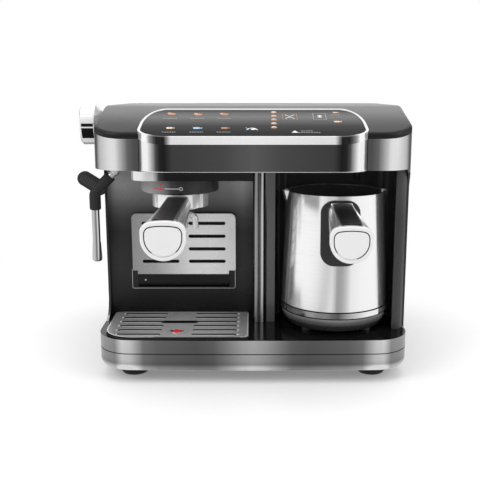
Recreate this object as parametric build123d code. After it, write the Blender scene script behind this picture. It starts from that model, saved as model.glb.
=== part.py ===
from build123d import *
import math
import os

# Combined espresso machine and electric Turkish coffee maker, in millimetres.
# +X is the machine's right, -Y its front and +Z up; the origin lies on the worktop, under the body's centre.

# ---- housing outline
HALF_W = 170.0          # half the body's width
BASE_FRONT = -150.0     # foremost line of the base
BASE_BOW = 3.0          # how far the base's front bows out at its middle
REAR = 150.0
BASE_CORNER_R = 38.0
HEAD_FRONT = -136.0     # front of the head's two side bands
HEAD_CORNER_R = 34.0
REAR_CORNER_R = 24.0
SKIN = 2.5              # wall of the metal skins and of the plastic covers
FIT = 0.3               # clearance between neighbouring bodies
RUN = 0.05              # radial clearance of a running fit

# ---- base
PAN_Z = 13.5            # underside of the lower band
GROOVE_Z = 33.4         # shadow groove between the two bands
GROOVE_H = 1.0
DECK_Z = 49.4           # top of the deck
DECK_T = 3.0
BAND_T = 3.0
BAND_FLANGE = 14.0      # inward reach of the lower band's bottom flange
BAND_ROUND = 7.0
PAN_INSET = 9.0
FOOT_X, FOOT_FRONT_Y, FOOT_REAR_Y = HALF_W - 37.0, -108.0, 112.0
FOOT_R = 16.0
FOOT_SCREW_R = 2.0

# ---- head
HEAD_Z = 230.0          # underside of the head
PANEL_HALF_W = HALF_W - 50.0
PANEL_FRONT = -154.0
PANEL_REAR = -55.0
PANEL_CORNER_W = 34.0   # elliptical front corners: across and deep
PANEL_CORNER_D = 26.0
PANEL_SIDE_END = PANEL_FRONT + 44.0     # where the straight sides turn into the long rear corners
PANEL_REAR_CORNER_W = 24.0
RING_TOP_Z = 266.2      # top of the chrome ring, at its front
RING_H = 7.7
RING_W = 2.8
RING_LEDGE = 3.0
GLASS_T = 3.4
GLASS_DROP = 0.6        # glass below the ring's top
BOARD_T = 1.6
SLOPE = 0.249           # rise of the control panel per millimetre of depth
COVER_DROP = 1.2        # top cover's surface below the ring's top
COVER_EDGE = 6.5        # thickness of the cover's rolled edge
COVER_ROUND = 4.0
CREST_Y = -38.0
CREST_R = 40.0
REAR_TOP_Z = RING_TOP_Z + 24.8
FASCIA_DEPTH = 24.0     # how far the fascia wraps around its corners
FASCIA_GAP = 0.4        # between the fascia and the bands beside it
SEAM_END_Y = 126.0      # where the side skins meet the rear cover
SKY_Z = REAR_TOP_Z + 29.0    # above everything
CEILING_T = 2.5
SHROUD_Z = 220.5        # underside of the housing around the brew group
SHROUD_FRONT = -146.0
SHROUD_CORNER_R = 18.0

# ---- tower, pillar and pot bay
TOWER_Y = -52.0
TOWER_T = 3.0
SIDE_EDGE_Y = -58.0     # front edge of the left side skin
BOOT_R = 22.0           # flare of the left skin above the base
RIGHT_EDGE_Y = -101.0
RIGHT_ARCH_R = 24.0
POT_WAIST_Z, POT_WAIST_R = 75.0, 60.0
POT_RIM_Z, POT_RIM_R = 202.0, POT_WAIST_R - 5.5
BAY_R = POT_WAIST_R + 8.0
LINER_T = 3.0
PILLAR_LEFT = HALF_W - 2 * BAY_R - 34.0
PILLAR_W = 26.0
PILLAR_FRONT = -79.0
PILLAR_TRIM_W = 14.0
PILLAR_TRIM_T = 1.5
PILLAR_RIB_R = 3.2
PILLAR_RIB_COUNT = 2
LINER_LIP_LEFT = PILLAR_LEFT + 15.5
POT_X, POT_Y = PILLAR_LEFT + BAY_R + 24.8, -76.0
RIGHT_WALL_FRONT = -109.0
RIGHT_WALL_LEFT = HALF_W - 14.5
RIGHT_WALL_ROUND = 8.0

# ---- fold-down cup shelf
SHELF_LEFT, SHELF_RIGHT = -HALF_W + 29.6, PILLAR_LEFT - 20.2
SHELF_Z0, SHELF_Z1 = 104.2, 171.5
SHELF_T = 2.0
SHELF_CORNER_R = 6.0
SHELF_FOOT_R = 1.5      # lower corners
SHELF_TAB_H = 4.3       # middle part of the plate below its corners
SHELF_AXIS_Y, SHELF_AXIS_Z = -49.5, 93.4
SHELF_BAR_H = 17.2
SHELF_BAR_BACK = 4.5     # bar behind and in front of the hinge axis
SHELF_BAR_FRONT = 7.0
SHELF_BAR_ROUND = 4.0   # bar's lower front edge, which turns past the recess's floor
SHELF_PIN_R = 2.0
SHELF_PIN_IN = 5.0
SHELF_ROWS = (160.2, 145.0, 130.0, 115.2)
SHELF_SLOT_W, SHELF_SLOT_H = (SHELF_RIGHT - SHELF_LEFT - 34.2) / 2, 4.0
SHELF_SLOT_GAP = 11.0
RECESS_LEFT, RECESS_RIGHT = -HALF_W + 27.8, PILLAR_LEFT - 20.7
RECESS_Z0, RECESS_Z1 = 81.3, 106.0
RECESS_WALL = 7.2
RECESS_RIM = 2.0
RECESS_FRONT = -53.2
RECESS_BACK = -38.0

# ---- drip tray
GRID_LEFT, GRID_RIGHT = -HALF_W + 8.0, PILLAR_LEFT - 5.0
GRID_FRONT, GRID_REAR = -146.5, -53.5
GRID_CORNER_R = 30.0
GRID_SMALL_R = 4.0
GRID_T = 1.2
TRAY_LIP_T = 1.2
TRAY_MARGIN = 12.0      # tray wall inside the grid's edge
TRAY_DEPTH = 19.0
TRAY_WALL = 2.0
SLOT_PITCH = 15.0
SLOT_ROWS = 6
SLOT_MIDDLE = 34.0      # free width between the two columns of slots
SLOT_END = 11.5
SLOT_LEN, SLOT_H = (GRID_RIGHT - GRID_LEFT - SLOT_MIDDLE - 2 * SLOT_END) / 2, 3.0
FLOAT_X, FLOAT_Y = (GRID_LEFT + GRID_RIGHT) / 2, -126.0
FLOAT_R = 5.5
FLOAT_BUOY_R = 11.0
FLOAT_BUOY_H = 8.0

# ---- brew group and portafilter
GROUP_X, GROUP_Y = (SHELF_LEFT + SHELF_RIGHT) / 2 + 1.1, -100.0
SHROUD_LEFT = -HALF_W + 42.0
COLLAR_R = 42.0
COLLAR_Z = 205.0
COLLAR_CAVITY_R = 36.0
COLLAR_LIP_T = 3.2
GROUP_NECK_R = 20.0
GASKET_R = 30.5
SPIGOT_R = 24.0
BOILER_LEFT, BOILER_RIGHT = GROUP_X - 36.8, GROUP_X + 37.2
BOILER_FRONT, BOILER_REAR = -134.0, -62.0
BOILER_Z0, BOILER_Z1 = 236.0, 256.0
PF_R = 30.6
PF_Z0, PF_Z1 = 188.8, 203.2
PF_TOP = 210.8
PF_NECK_R = 29.8
PF_BORE_R = 27.2
PF_FLOOR_Z = 190.0
PF_BOTTOM_Z = 183.5
PF_BOTTOM_R = 12.0
EAR_R = 35.4
EAR_SPAN = 40.0
BASKET_WALL = 0.7
SPOUT_X = 16.0
SPOUT_R = 3.3
SPOUT_BORE_R = 2.3
SPOUT_Z = 163.0
SPOUT_TOP_Z = 179.5
SPOUT_HUB_R = 9.5

# ---- handles of the portafilter and of the pot
CAP_W, CAP_H, CAP_CROWN, CAP_T = 41.0, 36.0, 3.0, 6.0
CAP_ROUND = 9.0
CAP_GROOVE = 1.0
CAP_RIM_SIDE, CAP_RIM_TOP, CAP_RIM_FOOT = 3.3, 3.9, 3.6
HANDLE_CROWN = 1.5
PF_ROOT = (GROUP_Y - PF_R - 1.4, 189.0, 27.0, 22.0)         # y, z, width, height
PF_END = (PF_ROOT[0] - 135.0, 183.6)                        # y, z where the cap starts
POT_ROOT = (POT_Y - POT_RIM_R - 7.5, 182.5, 29.0, 23.0)
POT_END = (POT_ROOT[0] - 84.0, 170.4)
PF_STUB_Z, POT_STUB_Z = 192.0, 182.5
STUB_R = 6.0
STUB_IN = 9.0
INLAY_DEPTH = 3.0
INLAY_W = 23.5

# ---- pot
POT_GAP = 0.2
POT_WALL = 1.2
POT_FLOOR_Z = 72.0
POT_RING_Z = 69.0
POT_CUP_Z = 53.0
POT_CUP_R = POT_WAIST_R - 7.0
POT_FOOT_R = 6.0
POT_FOOT_EDGE = 1.2     # foot's distance from the cup's lower edge
LIP_R, LIP_OFFSET = 9.0, POT_RIM_R - 2.5
LIP_DEPTH = 24.0
PLATE_W, PLATE_Z0, PLATE_Z1 = 42.0, 128.0, 198.0
PLATE_T = 3.2
PLATE_CORNER_R = 14.0
HEATER_R = POT_WAIST_R - 10.0
HEATER_T = 3.0
DOCK_R = 22.0
DOCK_PIN_R = 2.0
DOCK_PIN_RING = 11.0
DOCK_PIN_COUNT = 3
NOZZLE_X, NOZZLE_Y, NOZZLE_Z = POT_X + 25.8, -60.0, 210.7
NOZZLE_R = 4.0

# ---- steam knob, valve and wand
KNOB_Y, KNOB_Z = -45.0, 273.0
KNOB_OUT, KNOB_IN = -HALF_W - 24.3, -HALF_W - 7.6
KNOB_R = 23.0
KNOB_CONE_R = 14.0
KNOB_CONE_L = 6.2       # cone between the knob's rim and the head's side
SPINDLE_R = 4.0
SPINDLE_HOLE_R = 6.0
VALVE_RIGHT = -HALF_W + 36.0
VALVE_SIZE = 17.0
WAND_X, WAND_Y, WAND_Z = -HALF_W + 20.0, -100.0, HEAD_Z - 5.0
WAND_BALL_R = 5.0
WAND_BALL_FIT = 0.25
WAND_COLLAR_R = 7.5
WAND_COLLAR_LIFT = 2.0      # collar's lower edge above the ball's centre
WAND_SOCKET_H = 1.0
WAND_DROP_X = -HALF_W - 2.7
WAND_R = 4.15
WAND_BORE_R = 2.6
WAND_TIP_TOP, WAND_TIP_Z = 147.0, 125.3
WAND_TIP_R = 5.35
WAND_TIP_BORE_R = 1.2
GRIP_R = 6.2
GRIP_Z = 183.0
GRIP_START = 5.0        # grip's upper end, left of and below the ball's centre
GRIP_END_ROUND = 2.0
GRIP_TAB = (-HALF_W - 12.7, WAND_Z - 7.5)    # centre of the thumb tab's round end
GRIP_TAB_FOOT = (6.0, 5.0)                   # its other centre, from the grip's bend
GRIP_TAB_R = 8.0
GRIP_TAB_T = 8.0
GRIP_TAB_ROUND = 2.5

# ---- water tank at the rear
TANK_HALF_W = 72.0
TANK_FRONT, TANK_REAR = 86.0, 140.0
TANK_Z0 = 58.3
TANK_WALL = 2.0
TANK_CORNER_R = 10.0
LID_T = 3.4
LID_MARGIN = 2.0
LID_GAP = 0.8           # around the lid, so that its edge clears the cover as it swings up
LID_PIN_R = 1.0
LID_EAR_ROUND = 1.5
LID_EAR_IN, LID_EAR_W = 14.0, 6.0    # hinge ears, from the tank's sides
LID_BARREL_IN = 10.0
TANK_BOSS_Z = 58.0

# ---- rear and interior
PUMP_X, PUMP_Y, PUMP_Z = -HALF_W + 82.0, 22.0, 76.0
PUMP_LEN = 90.0
PUMP_R = 19.0
HOSE_R = 3.5
BOARD_X0, BOARD_X1 = HALF_W - 84.0, HALF_W - 22.0
BOARD_Z0, BOARD_Z1 = 90.0, 170.0
STANDOFF = 7.0
INLET_X, INLET_Z = HALF_W - 52.0, 66.0
INLET_R = 7.0
VENT_ROWS, VENT_PITCH = 6, 8.0
VENT_OUT, VENT_W, VENT_H, VENT_Z = 30.0, 50.0, 3.0, 180.0    # from the side, and above the table


def body_plan(front, bow, corner_r, inset=0.0):
    """Plan of the housing, drawn in by inset."""
    half, y0, y1 = HALF_W - inset, front + inset, REAR - inset
    left, right = (-half, y0 + bow), (half, y0 + bow)
    nose = ThreePointArc(left, (0, y0), right) if bow else Line(left, right)
    sides = Polyline((half, y0 + bow), (half, y1), (-half, y1), (-half, y0 + bow))
    plan = make_face(nose.edges() + sides.edges())
    plan = fillet(plan.vertices().filter_by(lambda v: v.Y < 0), max(corner_r - inset, 1))
    return fillet(plan.vertices().filter_by(lambda v: v.Y > y1 - 1), max(REAR_CORNER_R - inset, 1))


def base_plan(inset=0.0):
    return body_plan(BASE_FRONT, BASE_BOW, BASE_CORNER_R, inset)


def head_plan(inset=0.0):
    return body_plan(HEAD_FRONT, 0.0, HEAD_CORNER_R, inset)


def panel_plan(inset=0.0):
    """Plan of the control panel, with elliptical corners that are long at the rear."""
    w, y0, y1 = PANEL_HALF_W - inset, PANEL_FRONT + inset, PANEL_REAR - inset
    corner_w, corner_d = PANEL_CORNER_W - inset, PANEL_CORNER_D - inset
    rear_w, rear_d = PANEL_REAR_CORNER_W - inset, y1 - PANEL_SIDE_END
    front_x, rear_x, side_y = w - corner_w, w - rear_w, y0 + corner_d
    edges = [
        Line((-front_x, y0), (front_x, y0)),
        EllipticalCenterArc((front_x, side_y), corner_w, corner_d, 270, arc_size=90),
        Line((w, side_y), (w, PANEL_SIDE_END)),
        EllipticalCenterArc((rear_x, PANEL_SIDE_END), rear_w, rear_d, 0, arc_size=90),
        Line((rear_x, y1), (-rear_x, y1)),
        EllipticalCenterArc((-rear_x, PANEL_SIDE_END), rear_w, rear_d, 90, arc_size=90),
        Line((-w, PANEL_SIDE_END), (-w, side_y)),
        EllipticalCenterArc((-front_x, side_y), corner_w, corner_d, 180, arc_size=90),
    ]
    return make_face([e.edge() for e in edges])


def slab(plan, z0, z1):
    """Upright prism of a plan between two heights."""
    return Pos(0, 0, z0) * extrude(plan, z1 - z0)


def box(x0, x1, y0, y1, z0, z1):
    return Pos((x0 + x1) / 2, (y0 + y1) / 2, (z0 + z1) / 2) * Box(abs(x1 - x0), abs(y1 - y0), abs(z1 - z0))


def rod(r, x, y, z0, z1):
    """Upright cylinder."""
    return Pos(x, y, (z0 + z1) / 2) * Cylinder(r, z1 - z0)


def rod_x(r, x0, x1, y, z):
    return Pos((x0 + x1) / 2, y, z) * Rot(0, 90, 0) * Cylinder(r, abs(x1 - x0))


def rod_y(r, x, y0, y1, z):
    return Pos(x, (y0 + y1) / 2, z) * Rot(90, 0, 0) * Cylinder(r, abs(y1 - y0))


def across(points, x0, x1):
    """Solid of a closed outline in the YZ plane, from x0 to x1."""
    outline = make_face(Polyline(*points, close=True).edges())
    return Pos(x0, 0, 0) * extrude(Plane.YZ * outline, x1 - x0)


def panel_z(y):
    """Height of the chrome ring's top plane."""
    return RING_TOP_Z + SLOPE * (y - PANEL_FRONT)


def cover_z(y):
    """Height of the top cover's surface: sloped to the crest, then gently falling to the rear."""
    if y <= CREST_Y:
        return panel_z(y) - COVER_DROP
    crest = panel_z(CREST_Y) - COVER_DROP
    return crest + (REAR_TOP_Z - crest) * (y - CREST_Y) / (REAR - CREST_Y)


def panel_layer(low, high):
    """Wide sloping slab between two offsets from the ring's top plane."""
    ends = (PANEL_FRONT - 20, PANEL_REAR + 20)
    points = [(y, panel_z(y) + low) for y in ends] + [(y, panel_z(y) + high) for y in reversed(ends)]
    return across(points, -HALF_W, HALF_W)


def under_cover(drop, bottom=0.0):
    """Everything below the cover's surface, lowered by drop."""
    ends = (HEAD_FRONT - 30, CREST_Y, REAR + 20)
    points = [(ends[0], bottom)] + [(y, cover_z(y) - drop) for y in ends] + [(ends[2], bottom)]
    outline = make_face(Polyline(*points, close=True).edges())
    crest = outline.vertices().filter_by(lambda v: abs(v.X - CREST_Y) < 1 and v.Y > bottom + 1)
    return Pos(-HALF_W - 10, 0, 0) * extrude(Plane.YZ * fillet(crest, CREST_R), 2 * HALF_W + 20)


def shield(width, height, crown, corner_r):
    """Upright shield outline: softly crowned top, straight shoulders and a half-round bottom."""
    top, low = height / 2 - crown, width / 2 - height / 2
    edges = [
        ThreePointArc((-width / 2, top), (0, height / 2), (width / 2, top)),
        Line((width / 2, top), (width / 2, low)),
        ThreePointArc((width / 2, low), (0, -height / 2), (-width / 2, low)),
        Line((-width / 2, low), (-width / 2, top)),
    ]
    outline = make_face([e.edge() for e in edges])
    return fillet(outline.vertices().filter_by(lambda v: v.Y > low + 0.1), corner_r)


def facing_front(outline, x, y, z):
    """Places an upright outline with its normal to the front."""
    return Plane(origin=(x, y, z), x_dir=(1, 0, 0), z_dir=(0, -1, 0)) * outline


def pipe(points, radius, bore, bend):
    """Tube along straight runs joined by tangent arcs."""
    path = FilletPolyline(*points, radius=bend)
    start = Plane(origin=path @ 0, z_dir=path % 0)
    section = Circle(radius) - Circle(bore) if bore else Circle(radius)
    return sweep(start * section, path=path)


def write(name, shape):
    export_step(shape, f"parts/{name}.step")


# ---------------------------------------------------------------- base

def foot_places():
    return [(sx * FOOT_X, y) for sx in (-1, 1) for y in (FOOT_FRONT_Y, FOOT_REAR_Y)]


def base_lower_band():
    outer = slab(base_plan(), PAN_Z, GROOVE_Z)
    outer = fillet(outer.edges().group_by(Axis.Z)[0], BAND_ROUND)
    inner = slab(base_plan(BAND_T), PAN_Z + BAND_T, GROOVE_Z)
    inner = fillet(inner.edges().group_by(Axis.Z)[0], BAND_ROUND - BAND_T)
    return outer - inner - slab(base_plan(BAND_FLANGE), PAN_Z, GROOVE_Z)


def base_pan():
    floor_z = PAN_Z + BAND_T
    pan = slab(base_plan(PAN_INSET), floor_z, DECK_Z - DECK_T)
    pan -= slab(base_plan(PAN_INSET + SKIN), floor_z + SKIN, DECK_Z - DECK_T)
    collar = slab(base_plan(1.0), GROOVE_Z, GROOVE_Z + GROOVE_H)
    collar -= slab(base_plan(PAN_INSET + SKIN), 0, DECK_Z)
    pan += collar
    for x, y in foot_places():
        pan += rod(7, x, y, floor_z, floor_z + 12)
        pan -= rod(FOOT_SCREW_R + 0.1, x, y, floor_z - 1, floor_z + 10)
    return pan


def base_upper_band():
    return slab(base_plan(), GROOVE_Z + GROOVE_H, DECK_Z) - slab(base_plan(BAND_T), GROOVE_Z, DECK_Z)


def tray_area(margin, z0, z1):
    """Drip tray block: the grid's outline drawn in by margin, with its large corner at the machine's."""
    x0, x1 = GRID_LEFT + margin, GRID_RIGHT - margin
    y0, y1 = GRID_FRONT + margin, GRID_REAR - margin
    plan = make_face(Polyline((x0, y0), (x1, y0), (x1, y1), (x0, y1), close=True).edges())
    plan = fillet(plan.vertices().filter_by(lambda v: v.X < x0 + 1 and v.Y < y0 + 1), GRID_CORNER_R - margin)
    plan = fillet(plan.vertices().filter_by(lambda v: v.X > x1 - 1 or v.Y > y1 - 1), GRID_SMALL_R)
    return slab(plan, z0, z1)


def base_deck():
    deck = slab(base_plan(BAND_T), DECK_Z - DECK_T, DECK_Z)
    deck -= tray_area(TRAY_MARGIN - 1.0, DECK_Z - DECK_T - 1, DECK_Z + 1)
    deck -= rod(DOCK_R, POT_X, POT_Y, DECK_Z - DECK_T - 1, DECK_Z + 1)
    boss = box(-20, 20, TANK_FRONT + 10, TANK_FRONT + 40, DECK_Z, TANK_BOSS_Z)
    return deck + boss


def feet():
    group = []
    for x, y in foot_places():
        foot = Pos(x, y, 0) * Cone(FOOT_R - 2, FOOT_R, 3, align=(Align.CENTER, Align.CENTER, Align.MIN))
        foot += rod(FOOT_R, x, y, 3, PAN_Z)
        foot += rod(FOOT_R - 3, x, y, PAN_Z, PAN_Z + BAND_T)
        foot -= rod(5, x, y, -1, 5)
        foot -= rod(FOOT_SCREW_R + 0.1, x, y, 4, 20)
        group.append(foot.solid())
    return Compound(children=group)


def foot_screws():
    group = []
    for x, y in foot_places():
        screw = rod(4.5, x, y, 2.4, 5) + rod(FOOT_SCREW_R, x, y, 5, 25)
        group.append((screw - box(x - 3, x + 3, y - 0.5, y + 0.5, 2, 3.4)).solid())
    return Compound(children=group)


# ---------------------------------------------------------------- tower, pillar and pot bay

def shelf_pocket():
    """Space in which the shelf's bar turns."""
    return box(RECESS_LEFT + RECESS_WALL, RECESS_RIGHT - RECESS_WALL,
               RECESS_FRONT - 5, RECESS_BACK - RECESS_RIM,
               RECESS_Z0 + RECESS_RIM, RECESS_Z1 - RECESS_RIM)


def shelf_pin_spans():
    """Left and right ends of the two hinge pins."""
    return [(RECESS_LEFT + 2, RECESS_LEFT + RECESS_WALL + SHELF_PIN_IN),
            (RECESS_RIGHT - RECESS_WALL - SHELF_PIN_IN, RECESS_RIGHT - 2)]


def tower_front_panel():
    left = -HALF_W + SKIN
    panel = box(left, PILLAR_LEFT, TOWER_Y, TOWER_Y + TOWER_T, DECK_Z, SHROUD_Z)
    panel += box(left, SHROUD_LEFT, TOWER_Y, TOWER_Y + TOWER_T, DECK_Z, HEAD_Z)
    pillar = box(PILLAR_LEFT, PILLAR_LEFT + PILLAR_W, PILLAR_FRONT, TOWER_Y + TOWER_T, DECK_Z, HEAD_Z)
    panel += pillar - rod(BAY_R + LINER_T, POT_X, POT_Y, DECK_Z - 1, HEAD_Z + 1)
    panel += box(RECESS_LEFT, RECESS_RIGHT, RECESS_FRONT, RECESS_BACK, RECESS_Z0, RECESS_Z1)
    panel -= shelf_pocket()
    for x0, x1 in shelf_pin_spans():
        panel -= rod_x(SHELF_PIN_R, x0, x1, SHELF_AXIS_Y, SHELF_AXIS_Z)
    return panel


def shelf_hinge_pins():
    pins = [rod_x(SHELF_PIN_R, x0, x1, SHELF_AXIS_Y, SHELF_AXIS_Z).solid() for x0, x1 in shelf_pin_spans()]
    return Compound(children=pins)


def pillar_trim():
    """Chrome strip with rounded ribs on the pillar's front."""
    x0, x1 = PILLAR_LEFT, PILLAR_LEFT + PILLAR_TRIM_W
    front = PILLAR_FRONT - PILLAR_TRIM_T
    trim = box(x0, x1, front, PILLAR_FRONT, DECK_Z, HEAD_Z)
    for i in range(PILLAR_RIB_COUNT):
        x = x0 + PILLAR_TRIM_W * (i + 0.5) / PILLAR_RIB_COUNT
        rib = rod(PILLAR_RIB_R, x, front, DECK_Z, HEAD_Z)
        trim += rib & box(x0, x1, front - 10, front + 0.5, DECK_Z, HEAD_Z)
    return trim


def pot_bay_liner():
    liner = rod(BAY_R + LINER_T, POT_X, POT_Y, DECK_Z, HEAD_Z) - rod(BAY_R, POT_X, POT_Y, DECK_Z, HEAD_Z)
    liner -= box(PILLAR_LEFT, POT_X, POT_Y - 90, PILLAR_FRONT, DECK_Z, HEAD_Z)
    liner -= box(POT_X, RIGHT_WALL_LEFT, POT_Y - 90, POT_Y, DECK_Z, HEAD_Z)
    liner -= box(POT_X, HALF_W, POT_Y - 90, RIGHT_WALL_FRONT + LINER_T, DECK_Z, HEAD_Z)
    lip_right = POT_X - BAY_R
    liner += box(LINER_LIP_LEFT, lip_right, PILLAR_FRONT - LINER_T, PILLAR_FRONT, DECK_Z, HEAD_Z)
    return liner


def right_wall():
    """Grey front post between the bay and the right skin."""
    inner = HALF_W - SKIN
    post = box(RIGHT_WALL_LEFT, inner, RIGHT_WALL_FRONT, POT_Y + 20, DECK_Z, HEAD_Z)
    edge = post.edges().filter_by(Axis.Z).sort_by(lambda e: e.center().X - e.center().Y)[-1]
    post = fillet(edge, RIGHT_WALL_ROUND)
    return post - rod(BAY_R + LINER_T, POT_X, POT_Y, DECK_Z - 1, HEAD_Z + 1)


# ---------------------------------------------------------------- skins, covers and head

def side_skin(side):
    """Metal skin of one side: the head's band, running down into the side wall."""
    ring = slab(head_plan(), DECK_Z, SKY_Z) - slab(head_plan(SKIN), DECK_Z, SKY_Z)
    ring &= under_cover(COVER_EDGE)
    ring -= slab(panel_plan(-FASCIA_GAP), DECK_Z, SKY_Z)
    inner = side * (PANEL_HALF_W - PANEL_CORNER_W)
    keep = box(inner, side * (HALF_W + 5), HEAD_FRONT - 5, SEAM_END_Y, DECK_Z, SKY_Z)
    edge_y = SIDE_EDGE_Y if side < 0 else RIGHT_EDGE_Y
    arch_r = 4.0 if side < 0 else RIGHT_ARCH_R
    boot_r = BOOT_R if side < 0 else 4.0
    front = HEAD_FRONT - 20
    gap = Polyline((front, DECK_Z), (edge_y, DECK_Z), (edge_y, HEAD_Z), (front, HEAD_Z), close=True)
    gap = make_face(gap.edges())
    gap = fillet(gap.vertices().filter_by(lambda v: v.X > edge_y - 1 and v.Y > HEAD_Z - 1), arch_r)
    gap = fillet(gap.vertices().filter_by(lambda v: v.X > edge_y - 1 and v.Y < DECK_Z + 1), boot_r)
    skin = (ring & keep) - Pos(-HALF_W - 10, 0, 0) * extrude(Plane.YZ * gap, 2 * HALF_W + 20)
    if side < 0:
        skin -= rod_x(SPINDLE_HOLE_R, -HALF_W - 5, -HALF_W + 5, KNOB_Y, KNOB_Z)
    return skin


def rear_cover():
    ring = slab(head_plan(), DECK_Z, SKY_Z) - slab(head_plan(SKIN), DECK_Z, SKY_Z)
    cover = (ring & under_cover(COVER_EDGE)) & box(-HALF_W, HALF_W, SEAM_END_Y, REAR + 5, DECK_Z, SKY_Z)
    for i in range(VENT_ROWS):
        z = VENT_Z + i * VENT_PITCH
        for side in (-1, 1):
            x = side * (HALF_W - VENT_OUT)
            cover -= box(x, x - side * VENT_W, REAR - 6, REAR + 6, z, z + VENT_H)
    cover -= rod_y(INLET_R - 2, INLET_X, REAR - 6, REAR + 6, INLET_Z)
    for x in (BOARD_X0 + 5, BOARD_X1 - 5):
        for z in (BOARD_Z0 + 5, BOARD_Z1 - 5):
            cover += rod_y(3, x, REAR - SKIN - STANDOFF, REAR - SKIN, z)
    return cover


def head_fascia():
    wall = slab(panel_plan(), HEAD_Z, SKY_Z) - slab(panel_plan(SKIN), HEAD_Z, SKY_Z)
    wall -= panel_layer(-RING_H, 60)
    return wall & box(-HALF_W, HALF_W, PANEL_FRONT - 5, PANEL_FRONT + FASCIA_DEPTH, HEAD_Z, SKY_Z)


def head_ring():
    ring = slab(panel_plan(), HEAD_Z, SKY_Z) - slab(panel_plan(RING_W), HEAD_Z, SKY_Z)
    ring &= panel_layer(-RING_H, 0)
    ledge = slab(panel_plan(RING_W), HEAD_Z, SKY_Z) - slab(panel_plan(RING_W + RING_LEDGE), HEAD_Z, SKY_Z)
    return ring + (ledge & panel_layer(-RING_H, -GLASS_DROP - GLASS_T))


def touch_panel():
    return slab(panel_plan(RING_W + 0.2), HEAD_Z, SKY_Z) & panel_layer(-GLASS_DROP - GLASS_T, -GLASS_DROP)


def control_board():
    return slab(panel_plan(RING_W + RING_LEDGE), HEAD_Z, SKY_Z) & panel_layer(-RING_H - BOARD_T, -RING_H)


def tank_opening(margin, z0, z1):
    half = TANK_HALF_W + margin
    opening = box(-half, half, TANK_FRONT - margin, TANK_REAR + margin, z0, z1)
    return fillet(opening.edges().filter_by(Axis.Z), TANK_CORNER_R + margin)


def top_cover():
    shell = slab(head_plan(), HEAD_Z, SKY_Z) & under_cover(0)
    rim = shell.edges().filter_by(lambda e: e.center().Z > cover_z(e.center().Y) - 1.5)
    shell = fillet(rim, COVER_ROUND)
    shell -= under_cover(COVER_EDGE)
    shell += (slab(head_plan(SKIN), HEAD_Z, SKY_Z) & under_cover(COVER_EDGE)) - under_cover(COVER_EDGE + SKIN)
    shell -= slab(head_plan(2 * SKIN), HEAD_Z, SKY_Z) & under_cover(SKIN)
    shell -= slab(panel_plan(-0.2), HEAD_Z, SKY_Z)
    return shell - tank_opening(LID_MARGIN + LID_GAP, 250, SKY_Z)


def head_underside():
    """Ceiling of the head with the housing that stands down around the brew group."""
    ceiling = HEAD_Z + CEILING_T
    panel = slab(head_plan(SKIN), HEAD_Z, ceiling) + slab(panel_plan(SKIN), HEAD_Z, ceiling)
    panel &= box(-HALF_W, HALF_W, PANEL_FRONT, 0, HEAD_Z, ceiling)
    shroud = box(SHROUD_LEFT, PILLAR_LEFT, SHROUD_FRONT, TOWER_Y + TOWER_T, SHROUD_Z, HEAD_Z)
    corner = shroud.edges().filter_by(Axis.Z).sort_by(lambda e: e.center().X + e.center().Y)[0]
    shroud = fillet(corner, SHROUD_CORNER_R)
    cavity = box(SHROUD_LEFT + 4, PILLAR_LEFT - 4, SHROUD_FRONT + 4, TOWER_Y - 1,
                 SHROUD_Z + SKIN, ceiling + 1)
    corner = cavity.edges().filter_by(Axis.Z).sort_by(lambda e: e.center().X + e.center().Y)[0]
    panel = panel + shroud - fillet(corner, SHROUD_CORNER_R - 4) - head_fascia()
    panel -= rod(GROUP_NECK_R + 0.2, GROUP_X, GROUP_Y, SHROUD_Z - 1, HEAD_Z)
    panel -= rod(NOZZLE_R, NOZZLE_X, NOZZLE_Y, HEAD_Z - 1, HEAD_Z + 5)
    return panel - rod(3, WAND_X, WAND_Y, HEAD_Z - 1, HEAD_Z + 5)


# ---------------------------------------------------------------- brew group

def group_collar():
    collar = rod(COLLAR_R, GROUP_X, GROUP_Y, COLLAR_Z, SHROUD_Z)
    collar = fillet(collar.edges().group_by(Axis.Z)[0], 2)
    collar -= rod(COLLAR_CAVITY_R, GROUP_X, GROUP_Y, COLLAR_Z + COLLAR_LIP_T, SHROUD_Z)
    return collar - rod(PF_NECK_R + 0.6, GROUP_X, GROUP_Y, COLLAR_Z - 1, SHROUD_Z)


def group_head():
    seat = PF_TOP + 4.2
    head = rod(COLLAR_CAVITY_R - 0.2, GROUP_X, GROUP_Y, seat, SHROUD_Z)
    head += rod(SPIGOT_R, GROUP_X, GROUP_Y, seat - 2.7, seat)
    head += rod(GROUP_NECK_R, GROUP_X, GROUP_Y, SHROUD_Z, BOILER_Z0)
    return head - rod(2.5, GROUP_X, GROUP_Y, seat - 5, BOILER_Z0 + 1)


def group_gasket():
    z0, z1 = PF_TOP + BASKET_WALL + FIT, PF_TOP + 4.2
    return rod(GASKET_R, GROUP_X, GROUP_Y, z0, z1) - rod(SPIGOT_R + 0.2, GROUP_X, GROUP_Y, z0, z1)


def shower_screen():
    """Perforated screen under the spigot, with its centre screw."""
    z1 = PF_TOP + 1.5
    screen = rod(SPIGOT_R - 1, GROUP_X, GROUP_Y, z1 - 1.2, z1)
    for ring_r, count in ((7.0, 8), (12.5, 14), (18.0, 20)):
        for i in range(count):
            a = math.radians(360 * i / count)
            screen -= rod(0.9, GROUP_X + ring_r * math.cos(a), GROUP_Y + ring_r * math.sin(a), z1 - 2, z1 + 1)
    return screen + rod(3.2, GROUP_X, GROUP_Y, z1 - 2.6, z1)


def brew_boiler():
    boiler = box(BOILER_LEFT, BOILER_RIGHT, BOILER_FRONT, BOILER_REAR, BOILER_Z0, BOILER_Z1 - 6)
    boiler = fillet(boiler.edges().filter_by(Axis.Z), 12)
    boiler += rod(30, GROUP_X, GROUP_Y, BOILER_Z1 - 6, BOILER_Z1)
    return boiler


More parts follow.
